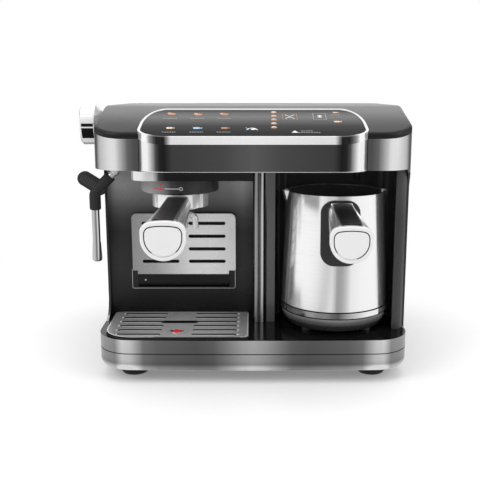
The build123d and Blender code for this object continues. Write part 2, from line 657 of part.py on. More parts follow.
def on_axis(shape, x, y):
    return Pos(x, y, 0) * shape


def portafilter_body():
    outline = Polyline((0, PF_BOTTOM_Z), (PF_BOTTOM_R, PF_BOTTOM_Z), (PF_R, PF_Z0), (PF_R, PF_Z1),
                       (PF_NECK_R, PF_Z1), (PF_NECK_R, PF_TOP), (PF_BORE_R, PF_TOP),
                       (PF_BORE_R, PF_FLOOR_Z), (0, PF_FLOOR_Z), close=True)
    body = revolve(Plane.XZ * make_face(outline.edges()), Axis.Z)
    height = PF_TOP - COLLAR_Z - COLLAR_LIP_T - FIT
    ears = Cylinder(EAR_R, height, align=(Align.CENTER, Align.CENTER, Align.MAX))
    wedge_y = EAR_R * math.tan(math.radians(EAR_SPAN / 2))
    wedge = extrude(make_face(Polyline((0, 0), (EAR_R * 2, -wedge_y * 2), (EAR_R * 2, wedge_y * 2),
                                       close=True).edges()), 300)
    wedge += Rot(0, 0, 180) * wedge
    body += (Pos(0, 0, PF_TOP) * ears - rod(PF_BORE_R, 0, 0, 0, 300)) & wedge
    body -= rod(4, 0, 0, PF_BOTTOM_Z - 1, PF_FLOOR_Z + 1)
    y0 = PF_ROOT[0] - GROUP_Y
    body += rod_y(STUB_R, 0, y0 - STUB_IN, -PF_R + 2, PF_STUB_Z) - rod(PF_BORE_R, 0, 0, PF_FLOOR_Z, 300)
    return on_axis(body, GROUP_X, GROUP_Y)


def filter_basket():
    r1 = PF_BORE_R - 0.4
    r0 = r1 - BASKET_WALL
    rim = PF_NECK_R - 0.4
    z0 = PF_FLOOR_Z + 3
    outline = Polyline((0, z0), (r1 - 2, z0), (r1, z0 + 4), (r1, PF_TOP), (rim, PF_TOP),
                       (rim, PF_TOP + BASKET_WALL), (r0, PF_TOP + BASKET_WALL), (r0, z0 + 4),
                       (r0 - 2, z0 + BASKET_WALL), (0, z0 + BASKET_WALL),
                       close=True)
    return on_axis(revolve(Plane.XZ * make_face(outline.edges()), Axis.Z), GROUP_X, GROUP_Y)


def portafilter_spout():
    """Hub under the filter holder with its two curved outlets."""
    hub = rod(SPOUT_HUB_R, 0, 0, SPOUT_TOP_Z - 4, PF_BOTTOM_Z)
    bores = rod(3.5, 0, 0, SPOUT_TOP_Z - 1, PF_BOTTOM_Z + 1)
    for side in (-1, 1):
        route = [(0, 0, SPOUT_TOP_Z), (side * SPOUT_X, 0, SPOUT_TOP_Z - 3), (side * SPOUT_X, 0, SPOUT_Z)]
        hub += pipe(route, SPOUT_R, 0, 6)
        bores += pipe(route, SPOUT_BORE_R, 0, 6)
    return on_axis(hub - bores, GROUP_X, GROUP_Y)


# ---------------------------------------------------------------- handles

def handle_stations(x, root, end):
    """Root and end sections of a handle: width, height, crown, corner and place."""
    y0, z0, w0, h0 = root
    y1, z1 = end
    return [(w0, h0, HANDLE_CROWN, 5.0, x, y0, z0),
            (CAP_W - 1.2, CAP_H - 1.2, CAP_CROWN, CAP_ROUND - 1, x, y1, z1)]


def handle_loft(x, root, end):
    faces = [facing_front(shield(w, h, c, r), px, py, pz)
             for w, h, c, r, px, py, pz in handle_stations(x, root, end)]
    return loft(faces)


def inlay_loft(x, root, end):
    """Soft black strip let into the handle's top."""
    faces = []
    for w, h, c, r, px, py, pz in handle_stations(x, root, end):
        strip = Pos(0, h / 2 - c / 2) * RectangleRounded(INLAY_W, 2 * INLAY_DEPTH, INLAY_DEPTH * 0.8)
        faces.append(facing_front(strip, px, py, pz))
    return loft(faces)


def stub_socket(x, root, stub_z):
    return rod_y(STUB_R + 0.1, x, root[0] - STUB_IN - 0.5, root[0] + 1, stub_z)


def handle_shell(x, root, end, stub_z):
    """Handle body with the seat of its inlay and the socket for its stub."""
    return handle_loft(x, root, end) - inlay_loft(x, root, end) - stub_socket(x, root, stub_z)


def handle_inlay(x, root, end, stub_z):
    return inlay_loft(x, root, end) - stub_socket(x, root, stub_z)


def end_cap(x, end):
    """Shield-shaped end cap with a fine groove around its face."""
    y, z = end
    cap = extrude(facing_front(shield(CAP_W, CAP_H, CAP_CROWN, CAP_ROUND), x, y, z), CAP_T)
    cap = fillet(cap.edges().filter_by(lambda e: e.center().Y < y - CAP_T + 0.01), 1.2)
    w, h = CAP_W - 2 * CAP_RIM_SIDE, CAP_H - CAP_RIM_TOP - CAP_RIM_FOOT
    outer = shield(w, h, CAP_CROWN - 1, CAP_ROUND - 2)
    inner = shield(w - 2 * CAP_GROOVE, h - 2 * CAP_GROOVE, CAP_CROWN - 1, CAP_ROUND - 3)
    middle = z - (CAP_RIM_TOP - CAP_RIM_FOOT) / 2
    return cap - extrude(facing_front(outer - inner, x, y - CAP_T + CAP_GROOVE, middle), CAP_GROOVE + 1)


# ---------------------------------------------------------------- pot

def pot_profile(grow):
    """Radius of the pot's tapered wall, grown by grow, as two (radius, z) points."""
    slope = (POT_RIM_R - POT_WAIST_R) / (POT_RIM_Z - POT_WAIST_Z)
    low = POT_WAIST_R + slope * (POT_FLOOR_Z - POT_WAIST_Z)
    return (low + grow, POT_FLOOR_Z), (POT_RIM_R + grow, POT_RIM_Z)


def pot_cone(grow, z0):
    (r0, _), (r1, z1) = pot_profile(grow)
    outline = Polyline((0, z0), (r0, z0), (r1, z1), (0, z1), close=True)
    solid = revolve(Plane.XZ * make_face(outline.edges()), Axis.Z)
    return solid


def pour_lip(side, shrink):
    """Pouring lip: a beak that grows out of the wall towards the rim."""
    low = Pos(side * (POT_RIM_R - 4), 0, POT_RIM_Z - LIP_DEPTH) * Circle(2.5 - shrink)
    high = Pos(side * LIP_OFFSET, 0, POT_RIM_Z) * Circle(LIP_R - shrink)
    return loft([low, high])


def pot_body():
    outer = pot_cone(0, POT_FLOOR_Z) + pour_lip(-1, 0) + pour_lip(1, 0)
    inner = pot_cone(-POT_WALL, POT_FLOOR_Z + POT_WALL) + pour_lip(-1, POT_WALL) + pour_lip(1, POT_WALL)
    return on_axis(outer - inner, POT_X, POT_Y)


def pot_ring():
    r = POT_WAIST_R + 0.5
    ring = rod(r, 0, 0, POT_RING_Z, POT_WAIST_Z) - pot_cone(0.05, POT_FLOOR_Z)
    ring -= rod(r - 3, 0, 0, 0, POT_FLOOR_Z)
    return on_axis(ring, POT_X, POT_Y)


def pot_feet():
    reach = (POT_CUP_R - POT_FOOT_R - POT_FOOT_EDGE) * math.sqrt(0.5)
    return [(sx * reach, sy * reach) for sx in (-1, 1) for sy in (-1, 1)]


def pot_base():
    r = POT_WAIST_R + 0.2
    outline = Polyline((0, POT_CUP_Z), (POT_CUP_R, POT_CUP_Z), (r - 2, POT_RING_Z - 9), (r, POT_RING_Z),
                       (r - 4, POT_RING_Z), (r - 6, POT_RING_Z - 8), (POT_CUP_R - 2, POT_CUP_Z + 3),
                       (0, POT_CUP_Z + 3), close=True)
    cup = revolve(Plane.XZ * make_face(outline.edges()), Axis.Z)
    for x, y in pot_feet():
        cup += rod(POT_FOOT_R, x, y, DECK_Z + POT_GAP, POT_CUP_Z + 1)
    cup += rod(9, 0, 0, POT_CUP_Z + 1, POT_FLOOR_Z - HEATER_T)
    return on_axis(cup, POT_X, POT_Y)


def pot_heater():
    """Heating plate clamped under the pot's floor."""
    return on_axis(rod(HEATER_R, 0, 0, POT_FLOOR_Z - HEATER_T, POT_FLOOR_Z), POT_X, POT_Y)


def pot_handle_plate():
    """Black mounting plate that follows the pot's wall, with the stub of the handle."""
    high = (PLATE_Z0 + PLATE_Z1) / 2
    blank = RectangleRounded(PLATE_W, PLATE_Z1 - PLATE_Z0, PLATE_CORNER_R)
    plate = extrude(facing_front(blank, 0, 0, high), 90) & pot_cone(PLATE_T, POT_FLOOR_Z)
    plate -= pot_cone(0, POT_FLOOR_Z)
    y0 = POT_ROOT[0] - POT_Y
    stub = rod_y(STUB_R, 0, y0 - STUB_IN, -POT_RIM_R, POT_STUB_Z) - pot_cone(0, POT_FLOOR_Z)
    return on_axis(plate + stub, POT_X, POT_Y)


def pot_dock():
    """Power dock in the deck, with its spring contact pins."""
    disc = rod(DOCK_R, 0, 0, DECK_Z - DECK_T, DECK_Z)
    group = []
    for i in range(DOCK_PIN_COUNT):
        a = math.radians(90 + 360 * i / DOCK_PIN_COUNT)
        x, y = DOCK_PIN_RING * math.cos(a), DOCK_PIN_RING * math.sin(a)
        disc -= rod(DOCK_PIN_R, x, y, DECK_Z - 2, DECK_Z)
        group.append(on_axis(rod(DOCK_PIN_R, x, y, DECK_Z - 2, POT_CUP_Z - 1), POT_X, POT_Y).solid())
    group.append(on_axis(disc, POT_X, POT_Y).solid())
    return Compound(children=group)


def pot_fill_nozzle():
    nozzle = rod(NOZZLE_R, 0, 0, NOZZLE_Z + 6, BOILER_Z0 - 1)
    nozzle += rod(NOZZLE_R + 2, 0, 0, HEAD_Z - 3, HEAD_Z)
    nozzle += Pos(0, 0, NOZZLE_Z) * Cone(2.5, NOZZLE_R, 6, align=(Align.CENTER, Align.CENTER, Align.MIN))
    return on_axis(nozzle - rod(1.5, 0, 0, 0, 300), NOZZLE_X, NOZZLE_Y)


# ---------------------------------------------------------------- drip tray and cup shelf

def drip_tray():
    lip = tray_area(-0.6, DECK_Z + FIT, DECK_Z + FIT + TRAY_LIP_T)
    body = tray_area(TRAY_MARGIN, DECK_Z - TRAY_DEPTH, DECK_Z + FIT + TRAY_LIP_T)
    inner = tray_area(TRAY_MARGIN + TRAY_WALL, DECK_Z - TRAY_DEPTH + TRAY_WALL, DECK_Z + FIT + TRAY_LIP_T + 1)
    guide = rod(3.5, FLOAT_X, FLOAT_Y, DECK_Z - TRAY_DEPTH + TRAY_WALL, DECK_Z - TRAY_DEPTH + 5)
    return lip + body - inner + guide


def float_indicator():
    top = DECK_Z + FIT + TRAY_LIP_T + FIT + GRID_T
    low = DECK_Z - TRAY_DEPTH + 5 + FIT
    button = rod(FLOAT_R, FLOAT_X, FLOAT_Y, low, top)
    buoy = rod(FLOAT_BUOY_R, FLOAT_X, FLOAT_Y, low, low + FLOAT_BUOY_H)
    buoy &= tray_area(TRAY_MARGIN + TRAY_WALL + 1, 0, 90)
    return fillet(button.edges().group_by(Axis.Z)[-1], 1.0) + buoy


def slot(length, height, x, y, z0, z1):
    return slab(Pos(x, y) * SlotOverall(length, height), z0, z1)


def drip_grid():
    z0 = DECK_Z + FIT + TRAY_LIP_T + FIT
    grid = tray_area(0, z0, z0 + GRID_T)
    first = (GRID_FRONT + GRID_REAR) / 2 - SLOT_PITCH * (SLOT_ROWS - 1) / 2
    middle = (GRID_LEFT + GRID_RIGHT) / 2
    for i in range(SLOT_ROWS):
        for side in (-1, 1):
            x = middle + side * (SLOT_LEN + SLOT_MIDDLE) / 2
            grid -= slot(SLOT_LEN, SLOT_H, x, first + i * SLOT_PITCH, z0 - 1, z0 + 5)
    grid -= slot(SLOT_MIDDLE, SLOT_H + 1, middle, GROUP_Y + 7, z0 - 1, z0 + 5)
    return grid - rod(FLOAT_R + 0.8, FLOAT_X, FLOAT_Y, z0 - 1, z0 + 5)


def cup_shelf():
    y1 = SHELF_AXIS_Y - SHELF_BAR_FRONT
    y0 = y1 - SHELF_T
    plate = box(SHELF_LEFT, SHELF_RIGHT, y0, y1, SHELF_Z0, SHELF_Z1)
    plate = fillet(plate.edges().filter_by(Axis.Y).group_by(Axis.Z)[-1], SHELF_CORNER_R)
    plate = fillet(plate.edges().filter_by(Axis.Y).group_by(Axis.Z)[0], SHELF_FOOT_R)
    x0, x1 = RECESS_LEFT + RECESS_WALL + FIT, RECESS_RIGHT - RECESS_WALL - FIT
    plate += box(x0, x1, y0, y1, SHELF_Z0 - SHELF_TAB_H, SHELF_Z0 + 4)
    middle = (SHELF_LEFT + SHELF_RIGHT) / 2
    for z in SHELF_ROWS:
        for side in (-1, 1):
            opening = facing_front(SlotOverall(SHELF_SLOT_W, SHELF_SLOT_H),
                                   middle + side * (SHELF_SLOT_W + SHELF_SLOT_GAP) / 2, y1 + 1, z)
            plate -= extrude(opening, SHELF_T + 2)
    return plate


def shelf_bar():
    y0 = SHELF_AXIS_Y - SHELF_BAR_FRONT
    y1 = SHELF_AXIS_Y + SHELF_BAR_BACK
    half = SHELF_BAR_H / 2
    x0, x1 = RECESS_LEFT + RECESS_WALL + FIT, RECESS_RIGHT - RECESS_WALL - FIT
    bar = box(x0, x1, y0, y1, SHELF_AXIS_Z - half, SHELF_AXIS_Z + half)
    bar = fillet(bar.edges().filter_by(Axis.X).filter_by(lambda e: e.center().Y > y1 - 0.1), 3)
    front = bar.edges().filter_by(Axis.X).filter_by(lambda e: e.center().Y < y0 + 0.1)
    foot = front.filter_by(lambda e: e.center().Z < SHELF_AXIS_Z)
    bar = fillet(foot, SHELF_BAR_ROUND)
    bar -= rod_x(SHELF_PIN_R + RUN, x0 - 1, x0 - FIT + SHELF_PIN_IN + 0.3, SHELF_AXIS_Y, SHELF_AXIS_Z)
    return bar - rod_x(SHELF_PIN_R + RUN, x1 + FIT - SHELF_PIN_IN - 0.3, x1 + 1, SHELF_AXIS_Y, SHELF_AXIS_Z)


# ---------------------------------------------------------------- steam side

def steam_knob():
    """Steam knob: a cylinder with a cone towards the head's side."""
    depth = KNOB_IN - KNOB_OUT
    outline = Polyline((0, 0), (KNOB_R - 1.5, 0), (KNOB_R, 1.5), (KNOB_R, depth),
                       (KNOB_CONE_R, depth + KNOB_CONE_L), (0, depth + KNOB_CONE_L), close=True)
    knob = revolve(Plane.XZ * make_face(outline.edges()), Axis.Z)
    knob -= Pos(0, 0, 4) * Cylinder(SPINDLE_R + 0.1, depth + KNOB_CONE_L,
                                    align=(Align.CENTER, Align.CENTER, Align.MIN))
    return Pos(KNOB_OUT, KNOB_Y, KNOB_Z) * Rot(0, 90, 0) * knob


def knob_spindle():
    return rod_x(SPINDLE_R, KNOB_OUT + 4.1, VALVE_RIGHT - 8, KNOB_Y, KNOB_Z)


def steam_valve():
    half = VALVE_SIZE / 2
    left = -HALF_W + 2 * SKIN + 1
    valve = box(left, VALVE_RIGHT, KNOB_Y - half, KNOB_Y + half, KNOB_Z - half, KNOB_Z + half)
    valve += box(WAND_X - 6, WAND_X + 6, KNOB_Y - 6, KNOB_Y + 6, HEAD_Z + CEILING_T, KNOB_Z)
    return valve - rod_x(SPINDLE_R + RUN, left - 1, VALVE_RIGHT - 7, KNOB_Y, KNOB_Z)


def wand_socket():
    """Seat of the wand's joint under the head."""
    socket = rod(WAND_COLLAR_R + 2, WAND_X, WAND_Y, HEAD_Z - WAND_SOCKET_H, HEAD_Z)
    return socket - Pos(WAND_X, WAND_Y, WAND_Z) * Sphere(WAND_BALL_R + FIT)


def wand_collar():
    """Turning cap that holds the upper half of the wand's ball."""
    top = HEAD_Z - WAND_SOCKET_H - FIT
    cap = rod(WAND_COLLAR_R, WAND_X, WAND_Y, WAND_Z + WAND_COLLAR_LIFT, top)
    cap = fillet(cap.edges().group_by(Axis.Z)[0], 0.6)
    return cap - Pos(WAND_X, WAND_Y, WAND_Z) * Sphere(WAND_BALL_R + WAND_BALL_FIT)


def wand_bend():
    """Corner of the wand's centre line, below the ball's left."""
    return (WAND_DROP_X, WAND_Y, WAND_Z - (WAND_X - WAND_DROP_X))


def wand_route():
    return [(WAND_X, WAND_Y, WAND_Z), wand_bend(), (WAND_DROP_X, WAND_Y, WAND_TIP_TOP)]


def wand_tube():
    """Steel tube brazed to its ball."""
    tube = Pos(WAND_X, WAND_Y, WAND_Z) * Sphere(WAND_BALL_R) + pipe(wand_route(), WAND_R, 0, 12)
    return tube - pipe(wand_route(), WAND_BORE_R, 0, 12)


def wand_grip():
    """Rubber grip around the tube's bend, with its flat thumb tab."""
    start = (WAND_X - GRIP_START, WAND_Y, WAND_Z - GRIP_START)
    grip = pipe([start, wand_bend(), (WAND_DROP_X, WAND_Y, GRIP_Z)], GRIP_R, 0, 12)
    grip = fillet(grip.edges().group_by(Axis.Z)[0], GRIP_END_ROUND)
    foot = Vector(WAND_DROP_X + GRIP_TAB_FOOT[0], wand_bend()[2] + GRIP_TAB_FOOT[1])
    tip = Vector(*GRIP_TAB)
    along = tip - foot
    outline = Pos(*(foot + tip) / 2) * Rot(0, 0, math.degrees(math.atan2(along.Y, along.X)))
    paddle = extrude(outline * SlotCenterToCenter(along.length, 2 * GRIP_TAB_R), GRIP_TAB_T)
    paddle = fillet(paddle.edges(), GRIP_TAB_ROUND)
    grip += Pos(0, WAND_Y + GRIP_TAB_T / 2, 0) * Rot(90, 0, 0) * paddle
    return grip - pipe(wand_route(), WAND_R, 0, 12)


def wand_nozzle():
    z0, z1 = WAND_TIP_Z, WAND_TIP_TOP
    outline = Polyline((WAND_TIP_BORE_R, z0), (WAND_TIP_R, z0), (WAND_TIP_R, z0 + 5), (WAND_R + 0.3, z1),
                       (WAND_TIP_BORE_R, z1), close=True)
    tip = revolve(Plane.XZ * make_face(outline.edges()), Axis.Z)
    tip = fillet(tip.edges().group_by(Axis.Z)[0].sort_by(SortBy.RADIUS)[-1], 3.0)
    return on_axis(tip, WAND_DROP_X, WAND_Y)


# ---------------------------------------------------------------- tank, pump and electrics

def lid_hinge():
    return TANK_REAR + LID_MARGIN - LID_T / 2, cover_z(TANK_REAR) - LID_T / 2


def water_tank():
    """Open clear tank with the two ears of its lid's hinge."""
    top = cover_z(TANK_REAR) - LID_T - FIT - 0.5
    tank = tank_opening(0, TANK_Z0, top) - tank_opening(-TANK_WALL, TANK_Z0 + TANK_WALL, top + 1)
    y, z = lid_hinge()
    for side in (-1, 1):
        x0, x1 = side * (TANK_HALF_W - LID_EAR_IN), side * (TANK_HALF_W - LID_EAR_IN - LID_EAR_W)
        ear = box(x0, x1, TANK_REAR - TANK_WALL, y + LID_T / 2, top - 8, z + LID_T / 2)
        ear = fillet(ear.edges().filter_by(Axis.X).group_by(Axis.Z)[-1].sort_by(Axis.Y)[-1], LID_EAR_ROUND)
        tank += ear - rod_x(LID_PIN_R, x0, x1, y, z)
    return tank


def tank_lid():
    """Flush lid that turns on two pins at its rear edge."""
    y, z = lid_hinge()
    z1 = cover_z(TANK_FRONT)
    lid = tank_opening(LID_MARGIN, z - LID_T / 2, z1 + 5) & under_cover(0) & box(-200, 200, 0, y, 0, 400)
    barrel = TANK_HALF_W - LID_BARREL_IN
    lid += rod_x(LID_T / 2, -barrel, barrel, y, z)
    for side in (-1, 1):
        lid -= box(side * barrel, side * HALF_W, y - LID_T, y + 5, z - 5, z + 5)
        x0 = side * (TANK_HALF_W - LID_EAR_IN + FIT)
        x1 = side * (TANK_HALF_W - LID_EAR_IN - LID_EAR_W - FIT)
        lid -= box(x0, x1, TANK_REAR - TANK_WALL - 1, y + 5, z - 5, z + 5)
        lid += rod_x(LID_PIN_R - RUN, x0, x1, y, z)
    return lid


def pump():
    """Vibration pump with its coil housing and four feet."""
    body = rod_x(PUMP_R, PUMP_X - PUMP_LEN / 4, PUMP_X + PUMP_LEN / 4, PUMP_Y, PUMP_Z)
    body += rod_x(10, PUMP_X - PUMP_LEN / 2, PUMP_X + PUMP_LEN / 2, PUMP_Y, PUMP_Z)
    body += box(PUMP_X - 18, PUMP_X + 18, PUMP_Y - 15, PUMP_Y + 15, DECK_Z, PUMP_Z - 8)
    return body


def hoses():
    """Suction hose, pressure hose, pot filling hose and steam pipe."""
    end = PUMP_X + PUMP_LEN / 2
    suction = pipe([(end, PUMP_Y, PUMP_Z), (0, PUMP_Y, PUMP_Z), (0, PUMP_Y + 30, PUMP_Z),
                    (0, TANK_FRONT - 16, DECK_Z + 5), (0, TANK_FRONT + 10, DECK_Z + 5)], HOSE_R, 2, 9)
    left = PUMP_X - PUMP_LEN / 2
    feed_z = (BOILER_Z0 + BOILER_Z1) / 2 - 3
    pressure = pipe([(left, PUMP_Y, PUMP_Z), (left - 15, PUMP_Y, PUMP_Z), (left - 15, PUMP_Y, feed_z),
                     (BOILER_LEFT + 20, PUMP_Y, feed_z), (BOILER_LEFT + 20, BOILER_REAR, feed_z)], HOSE_R, 2, 9)
    filling = pipe([(BOILER_RIGHT, -80, feed_z), (NOZZLE_X - 30, -80, feed_z), (NOZZLE_X, NOZZLE_Y, feed_z),
                    (NOZZLE_X, NOZZLE_Y, BOILER_Z0 - 1)], HOSE_R, 2, 4)
    steam = pipe([(WAND_X, KNOB_Y - VALVE_SIZE / 2, KNOB_Z - 4), (WAND_X, WAND_Y, KNOB_Z - 4),
                  (WAND_X, WAND_Y, HEAD_Z + 1)], 2.5, 1.5, 8)
    return Compound(children=[h.solid() for h in (suction, pressure, filling, steam)])


def power_board():
    y1 = REAR - SKIN - STANDOFF
    board = box(BOARD_X0, BOARD_X1, y1 - BOARD_T, y1, BOARD_Z0, BOARD_Z1)
    board += box(BOARD_X0 + 8, BOARD_X0 + 28, y1 - 22, y1 - BOARD_T, BOARD_Z0 + 10, BOARD_Z0 + 34)
    return board + box(BOARD_X1 - 24, BOARD_X1 - 8, y1 - 16, y1 - BOARD_T, BOARD_Z0 + 42, BOARD_Z0 + 66)


def power_inlet():
    """Cable gland in the rear cover."""
    gland = rod_y(INLET_R, INLET_X, REAR, REAR + 4, INLET_Z)
    gland += rod_y(INLET_R - 2.1, INLET_X, REAR - 6, REAR, INLET_Z)
    gland += rod_y(INLET_R, INLET_X, REAR - 6, REAR - SKIN, INLET_Z)
    return gland - rod_y(3.4, INLET_X, REAR - 10, REAR + 10, INLET_Z)


def main():
    os.makedirs("parts", exist_ok=True)
    write("base_lower_band", base_lower_band())
    write("base_pan", base_pan())
    write("base_upper_band", base_upper_band())
    write("base_deck", base_deck())
    write("feet", feet())
    write("foot_screws", foot_screws())
    write("tower_front_panel", tower_front_panel())
    write("shelf_hinge_pins", shelf_hinge_pins())
    write("pillar_trim", pillar_trim())
    write("pot_bay_liner", pot_bay_liner())
    write("right_wall", right_wall())
    write("left_side_skin", side_skin(-1))
    write("right_side_skin", side_skin(1))
    write("rear_cover", rear_cover())
    write("head_fascia", head_fascia())
    write("head_ring", head_ring())
    write("touch_panel", touch_panel())
    write("control_board", control_board())
    write("top_cover", top_cover())
    write("head_underside", head_underside())
    write("group_collar", group_collar())
    write("group_head", group_head())
    write("group_gasket", group_gasket())
    write("shower_screen", shower_screen())
    write("brew_boiler", brew_boiler())
    write("portafilter_body", portafilter_body())
    write("filter_basket", filter_basket())
    write("portafilter_spout", portafilter_spout())
    write("portafilter_handle", handle_shell(GROUP_X, PF_ROOT, PF_END, PF_STUB_Z))
    write("portafilter_inlay", handle_inlay(GROUP_X, PF_ROOT, PF_END, PF_STUB_Z))
    write("portafilter_end_cap", end_cap(GROUP_X, PF_END))
    write("pot_body", pot_body())
    write("pot_ring", pot_ring())
    write("pot_base", pot_base())
    write("pot_heater", pot_heater())
    write("pot_handle_plate", pot_handle_plate())
    write("pot_handle", handle_shell(POT_X, POT_ROOT, POT_END, POT_STUB_Z))
    write("pot_inlay", handle_inlay(POT_X, POT_ROOT, POT_END, POT_STUB_Z))
    write("pot_end_cap", end_cap(POT_X, POT_END))
    write("pot_dock", pot_dock())
    write("pot_fill_nozzle", pot_fill_nozzle())
    write("drip_tray", drip_tray())
    write("drip_grid", drip_grid())
    write("float_indicator", float_indicator())
    write("cup_shelf", cup_shelf())
    write("shelf_bar", shelf_bar())
    write("steam_knob", steam_knob())
    write("knob_spindle", knob_spindle())
    write("steam_valve", steam_valve())
    write("wand_socket", wand_socket())
    write("wand_collar", wand_collar())
    write("wand_tube", wand_tube())
    write("wand_grip", wand_grip())
    write("wand_nozzle", wand_nozzle())
    write("water_tank", water_tank())
    write("tank_lid", tank_lid())
    write("pump", pump())
    write("hoses", hoses())
    write("power_board", power_board())
    write("power_inlet", power_inlet())


main()
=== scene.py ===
"""Looks of a combined espresso and Turkish coffee machine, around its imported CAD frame.

Lengths are millimetres in the row frame (x to the right, y to the rear, z up) unless a line says metres.
"""

import math

import bmesh
import bpy
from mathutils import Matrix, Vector


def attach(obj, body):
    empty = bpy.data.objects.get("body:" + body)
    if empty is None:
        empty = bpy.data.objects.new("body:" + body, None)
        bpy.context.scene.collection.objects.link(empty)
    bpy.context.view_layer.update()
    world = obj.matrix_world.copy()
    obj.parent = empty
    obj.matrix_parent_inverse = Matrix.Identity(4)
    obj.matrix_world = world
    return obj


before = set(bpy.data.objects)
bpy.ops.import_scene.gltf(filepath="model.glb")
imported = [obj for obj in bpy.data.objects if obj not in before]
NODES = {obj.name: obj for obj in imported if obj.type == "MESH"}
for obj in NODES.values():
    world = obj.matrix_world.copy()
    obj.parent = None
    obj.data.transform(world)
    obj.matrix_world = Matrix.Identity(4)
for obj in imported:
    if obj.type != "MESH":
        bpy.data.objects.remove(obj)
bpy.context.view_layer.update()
MM = 0.001


# ---------------------------------------------------------------- shader nodes

def node(tree, kind, inputs=None, **settings):
    """Adds a node; inputs maps its sockets to values or to the outputs of other nodes."""
    made = tree.nodes.new(kind)
    for key, value in settings.items():
        setattr(made, key, value)
    for key, value in (inputs or {}).items():
        if isinstance(value, bpy.types.NodeSocket):
            tree.links.new(value, made.inputs[key])
        else:
            made.inputs[key].default_value = value
    return made


def calculate(tree, operation, *values):
    return node(tree, "ShaderNodeMath", dict(enumerate(values)), operation=operation).outputs[0]


def remap(tree, value, low, high, from_low=0.3, from_high=0.7, ease="LINEAR"):
    """Value carried from one range to another; the range it comes from is by default that of a noise."""
    inputs = {"Value": value, "From Min": from_low, "From Max": from_high, "To Min": low, "To Max": high}
    return node(tree, "ShaderNodeMapRange", inputs, interpolation_type=ease).outputs["Result"]


def mix(tree, factor, a, b, blend="MIX"):
    inputs = {"Factor": factor, "A": a, "B": b}
    return node(tree, "ShaderNodeMix", inputs, data_type="RGBA", blend_type=blend).outputs["Result"]


def multiply(tree, a, b):
    return mix(tree, 1.0, a, b, "MULTIPLY")


def split(tree, vector):
    """The X, Y and Z outputs of a vector."""
    return node(tree, "ShaderNodeSeparateXYZ", {"Vector": vector}).outputs


def object_coordinates(tree):
    """Place in the part's own frame, in metres."""
    return node(tree, "ShaderNodeTexCoord").outputs["Object"]


def normal_direction(tree):
    return node(tree, "ShaderNodeNewGeometry").outputs["Normal"]


def length_of(tree, vector):
    return node(tree, "ShaderNodeVectorMath", {0: vector}, operation="LENGTH").outputs["Value"]


def noise(tree, stretch, detail=3.0):
    """Noise in the part's own frame; stretch is features per metre along each axis."""
    mapping = node(tree, "ShaderNodeMapping", {"Vector": object_coordinates(tree), "Scale": stretch})
    inputs = {"Vector": mapping.outputs["Vector"], "Scale": 1.0, "Detail": detail}
    return node(tree, "ShaderNodeTexNoise", inputs).outputs["Fac"]


def ramp(tree, value, stops):
    """Grey along a value from 0 to 1; stops are (place, grey)."""
    made = node(tree, "ShaderNodeValToRGB", {"Fac": value})
    for i, (place, shade) in enumerate(stops):
        stop = made.color_ramp.elements[i] if i < 2 else made.color_ramp.elements.new(place)
        stop.position = place
        stop.color = (*grey(shade), 1)
    return made.outputs["Color"]


def position_ramp(tree, axis, stops, both=False):
    """Grey that runs along an axis of the part; stops are (mm, grey), both mirrors them about 0."""
    place = split(tree, object_coordinates(tree))[axis]
    if both:
        place = calculate(tree, "ABSOLUTE", place)
    low, high = stops[0][0], stops[-1][0]
    along = remap(tree, place, 0, 1, low * MM, high * MM)
    return ramp(tree, along, [((mm - low) / (high - low), shade) for mm, shade in stops])


# ---------------------------------------------------------------- finishes

def grey(v):
    return (v, v, v)


def scaled(colour, k):
    return tuple(c * k for c in colour)


def principled(name, base, metallic, rough, **sockets):
    """Material and its tree; sockets are names of inputs with underscores for spaces."""
    material = bpy.data.materials.new(name)
    material.use_nodes = True
    inputs = material.node_tree.nodes["Principled BSDF"].inputs
    sockets.update(Base_Color=(*base, 1), Metallic=metallic, Roughness=rough)
    for key, value in sockets.items():
        inputs[key.replace("_", " ")].default_value = value
    return material, material.node_tree


def feed(tree, socket, value):
    """Links a value into an input of the tree's principled shader."""
    tree.links.new(value, tree.nodes["Principled BSDF"].inputs[socket])


def tint(tree, value, dark, light):
    """Base colour that runs from dark to light with value."""
    feed(tree, "Base Color", mix(tree, value, (*dark, 1), (*light, 1)))


def roughen(tree, value, rough, spread):
    feed(tree, "Roughness", remap(tree, value, rough - spread, rough + spread))


def bump(tree, value, strength, distance):
    """Relief from a value; distance is in metres."""
    inputs = {"Strength": strength, "Distance": distance, "Height": value}
    feed(tree, "Normal", node(tree, "ShaderNodeBump", inputs).outputs["Normal"])


def brushed(name, base, rough, stretch, anisotropic):
    """Metal with fine parallel brush lines."""
    material, tree = principled(name, base, 1.0, rough, Anisotropic=anisotropic)
    lines = noise(tree, stretch)
    roughen(tree, lines, rough, 0.05)
    tint(tree, remap(tree, lines, 0, 1), scaled(base, 0.86), base)
    bump(tree, lines, 0.25, 0.00002)
    tangent = node(tree, "ShaderNodeTangent", direction_type="RADIAL", axis="Z")
    feed(tree, "Tangent", tangent.outputs["Tangent"])
    return material


def grained(name, base, metallic, rough, spread=0.05, depth=0.00003, lift=1.25, **sockets):
    """Moulded or painted surface with an even fine grain."""
    material, tree = principled(name, base, metallic, rough, **sockets)
    fine = noise(tree, grey(1 / 0.0006), detail=2.0)
    broad = noise(tree, grey(14.0))
    roughen(tree, broad, rough, spread)
    tint(tree, remap(tree, broad, 0, 1), base, scaled(base, lift))
    bump(tree, fine, 0.3, depth)
    return material


def painted_shade_by_facing(tree, colour, flat, upright):
    """Painted shade: multiplies a colour by flat where the surface faces up and by upright where it stands.
    """
    up = split(tree, normal_direction(tree))["Z"]
    return multiply(tree, colour, remap(tree, up, upright, flat, 0.45, 0.8))


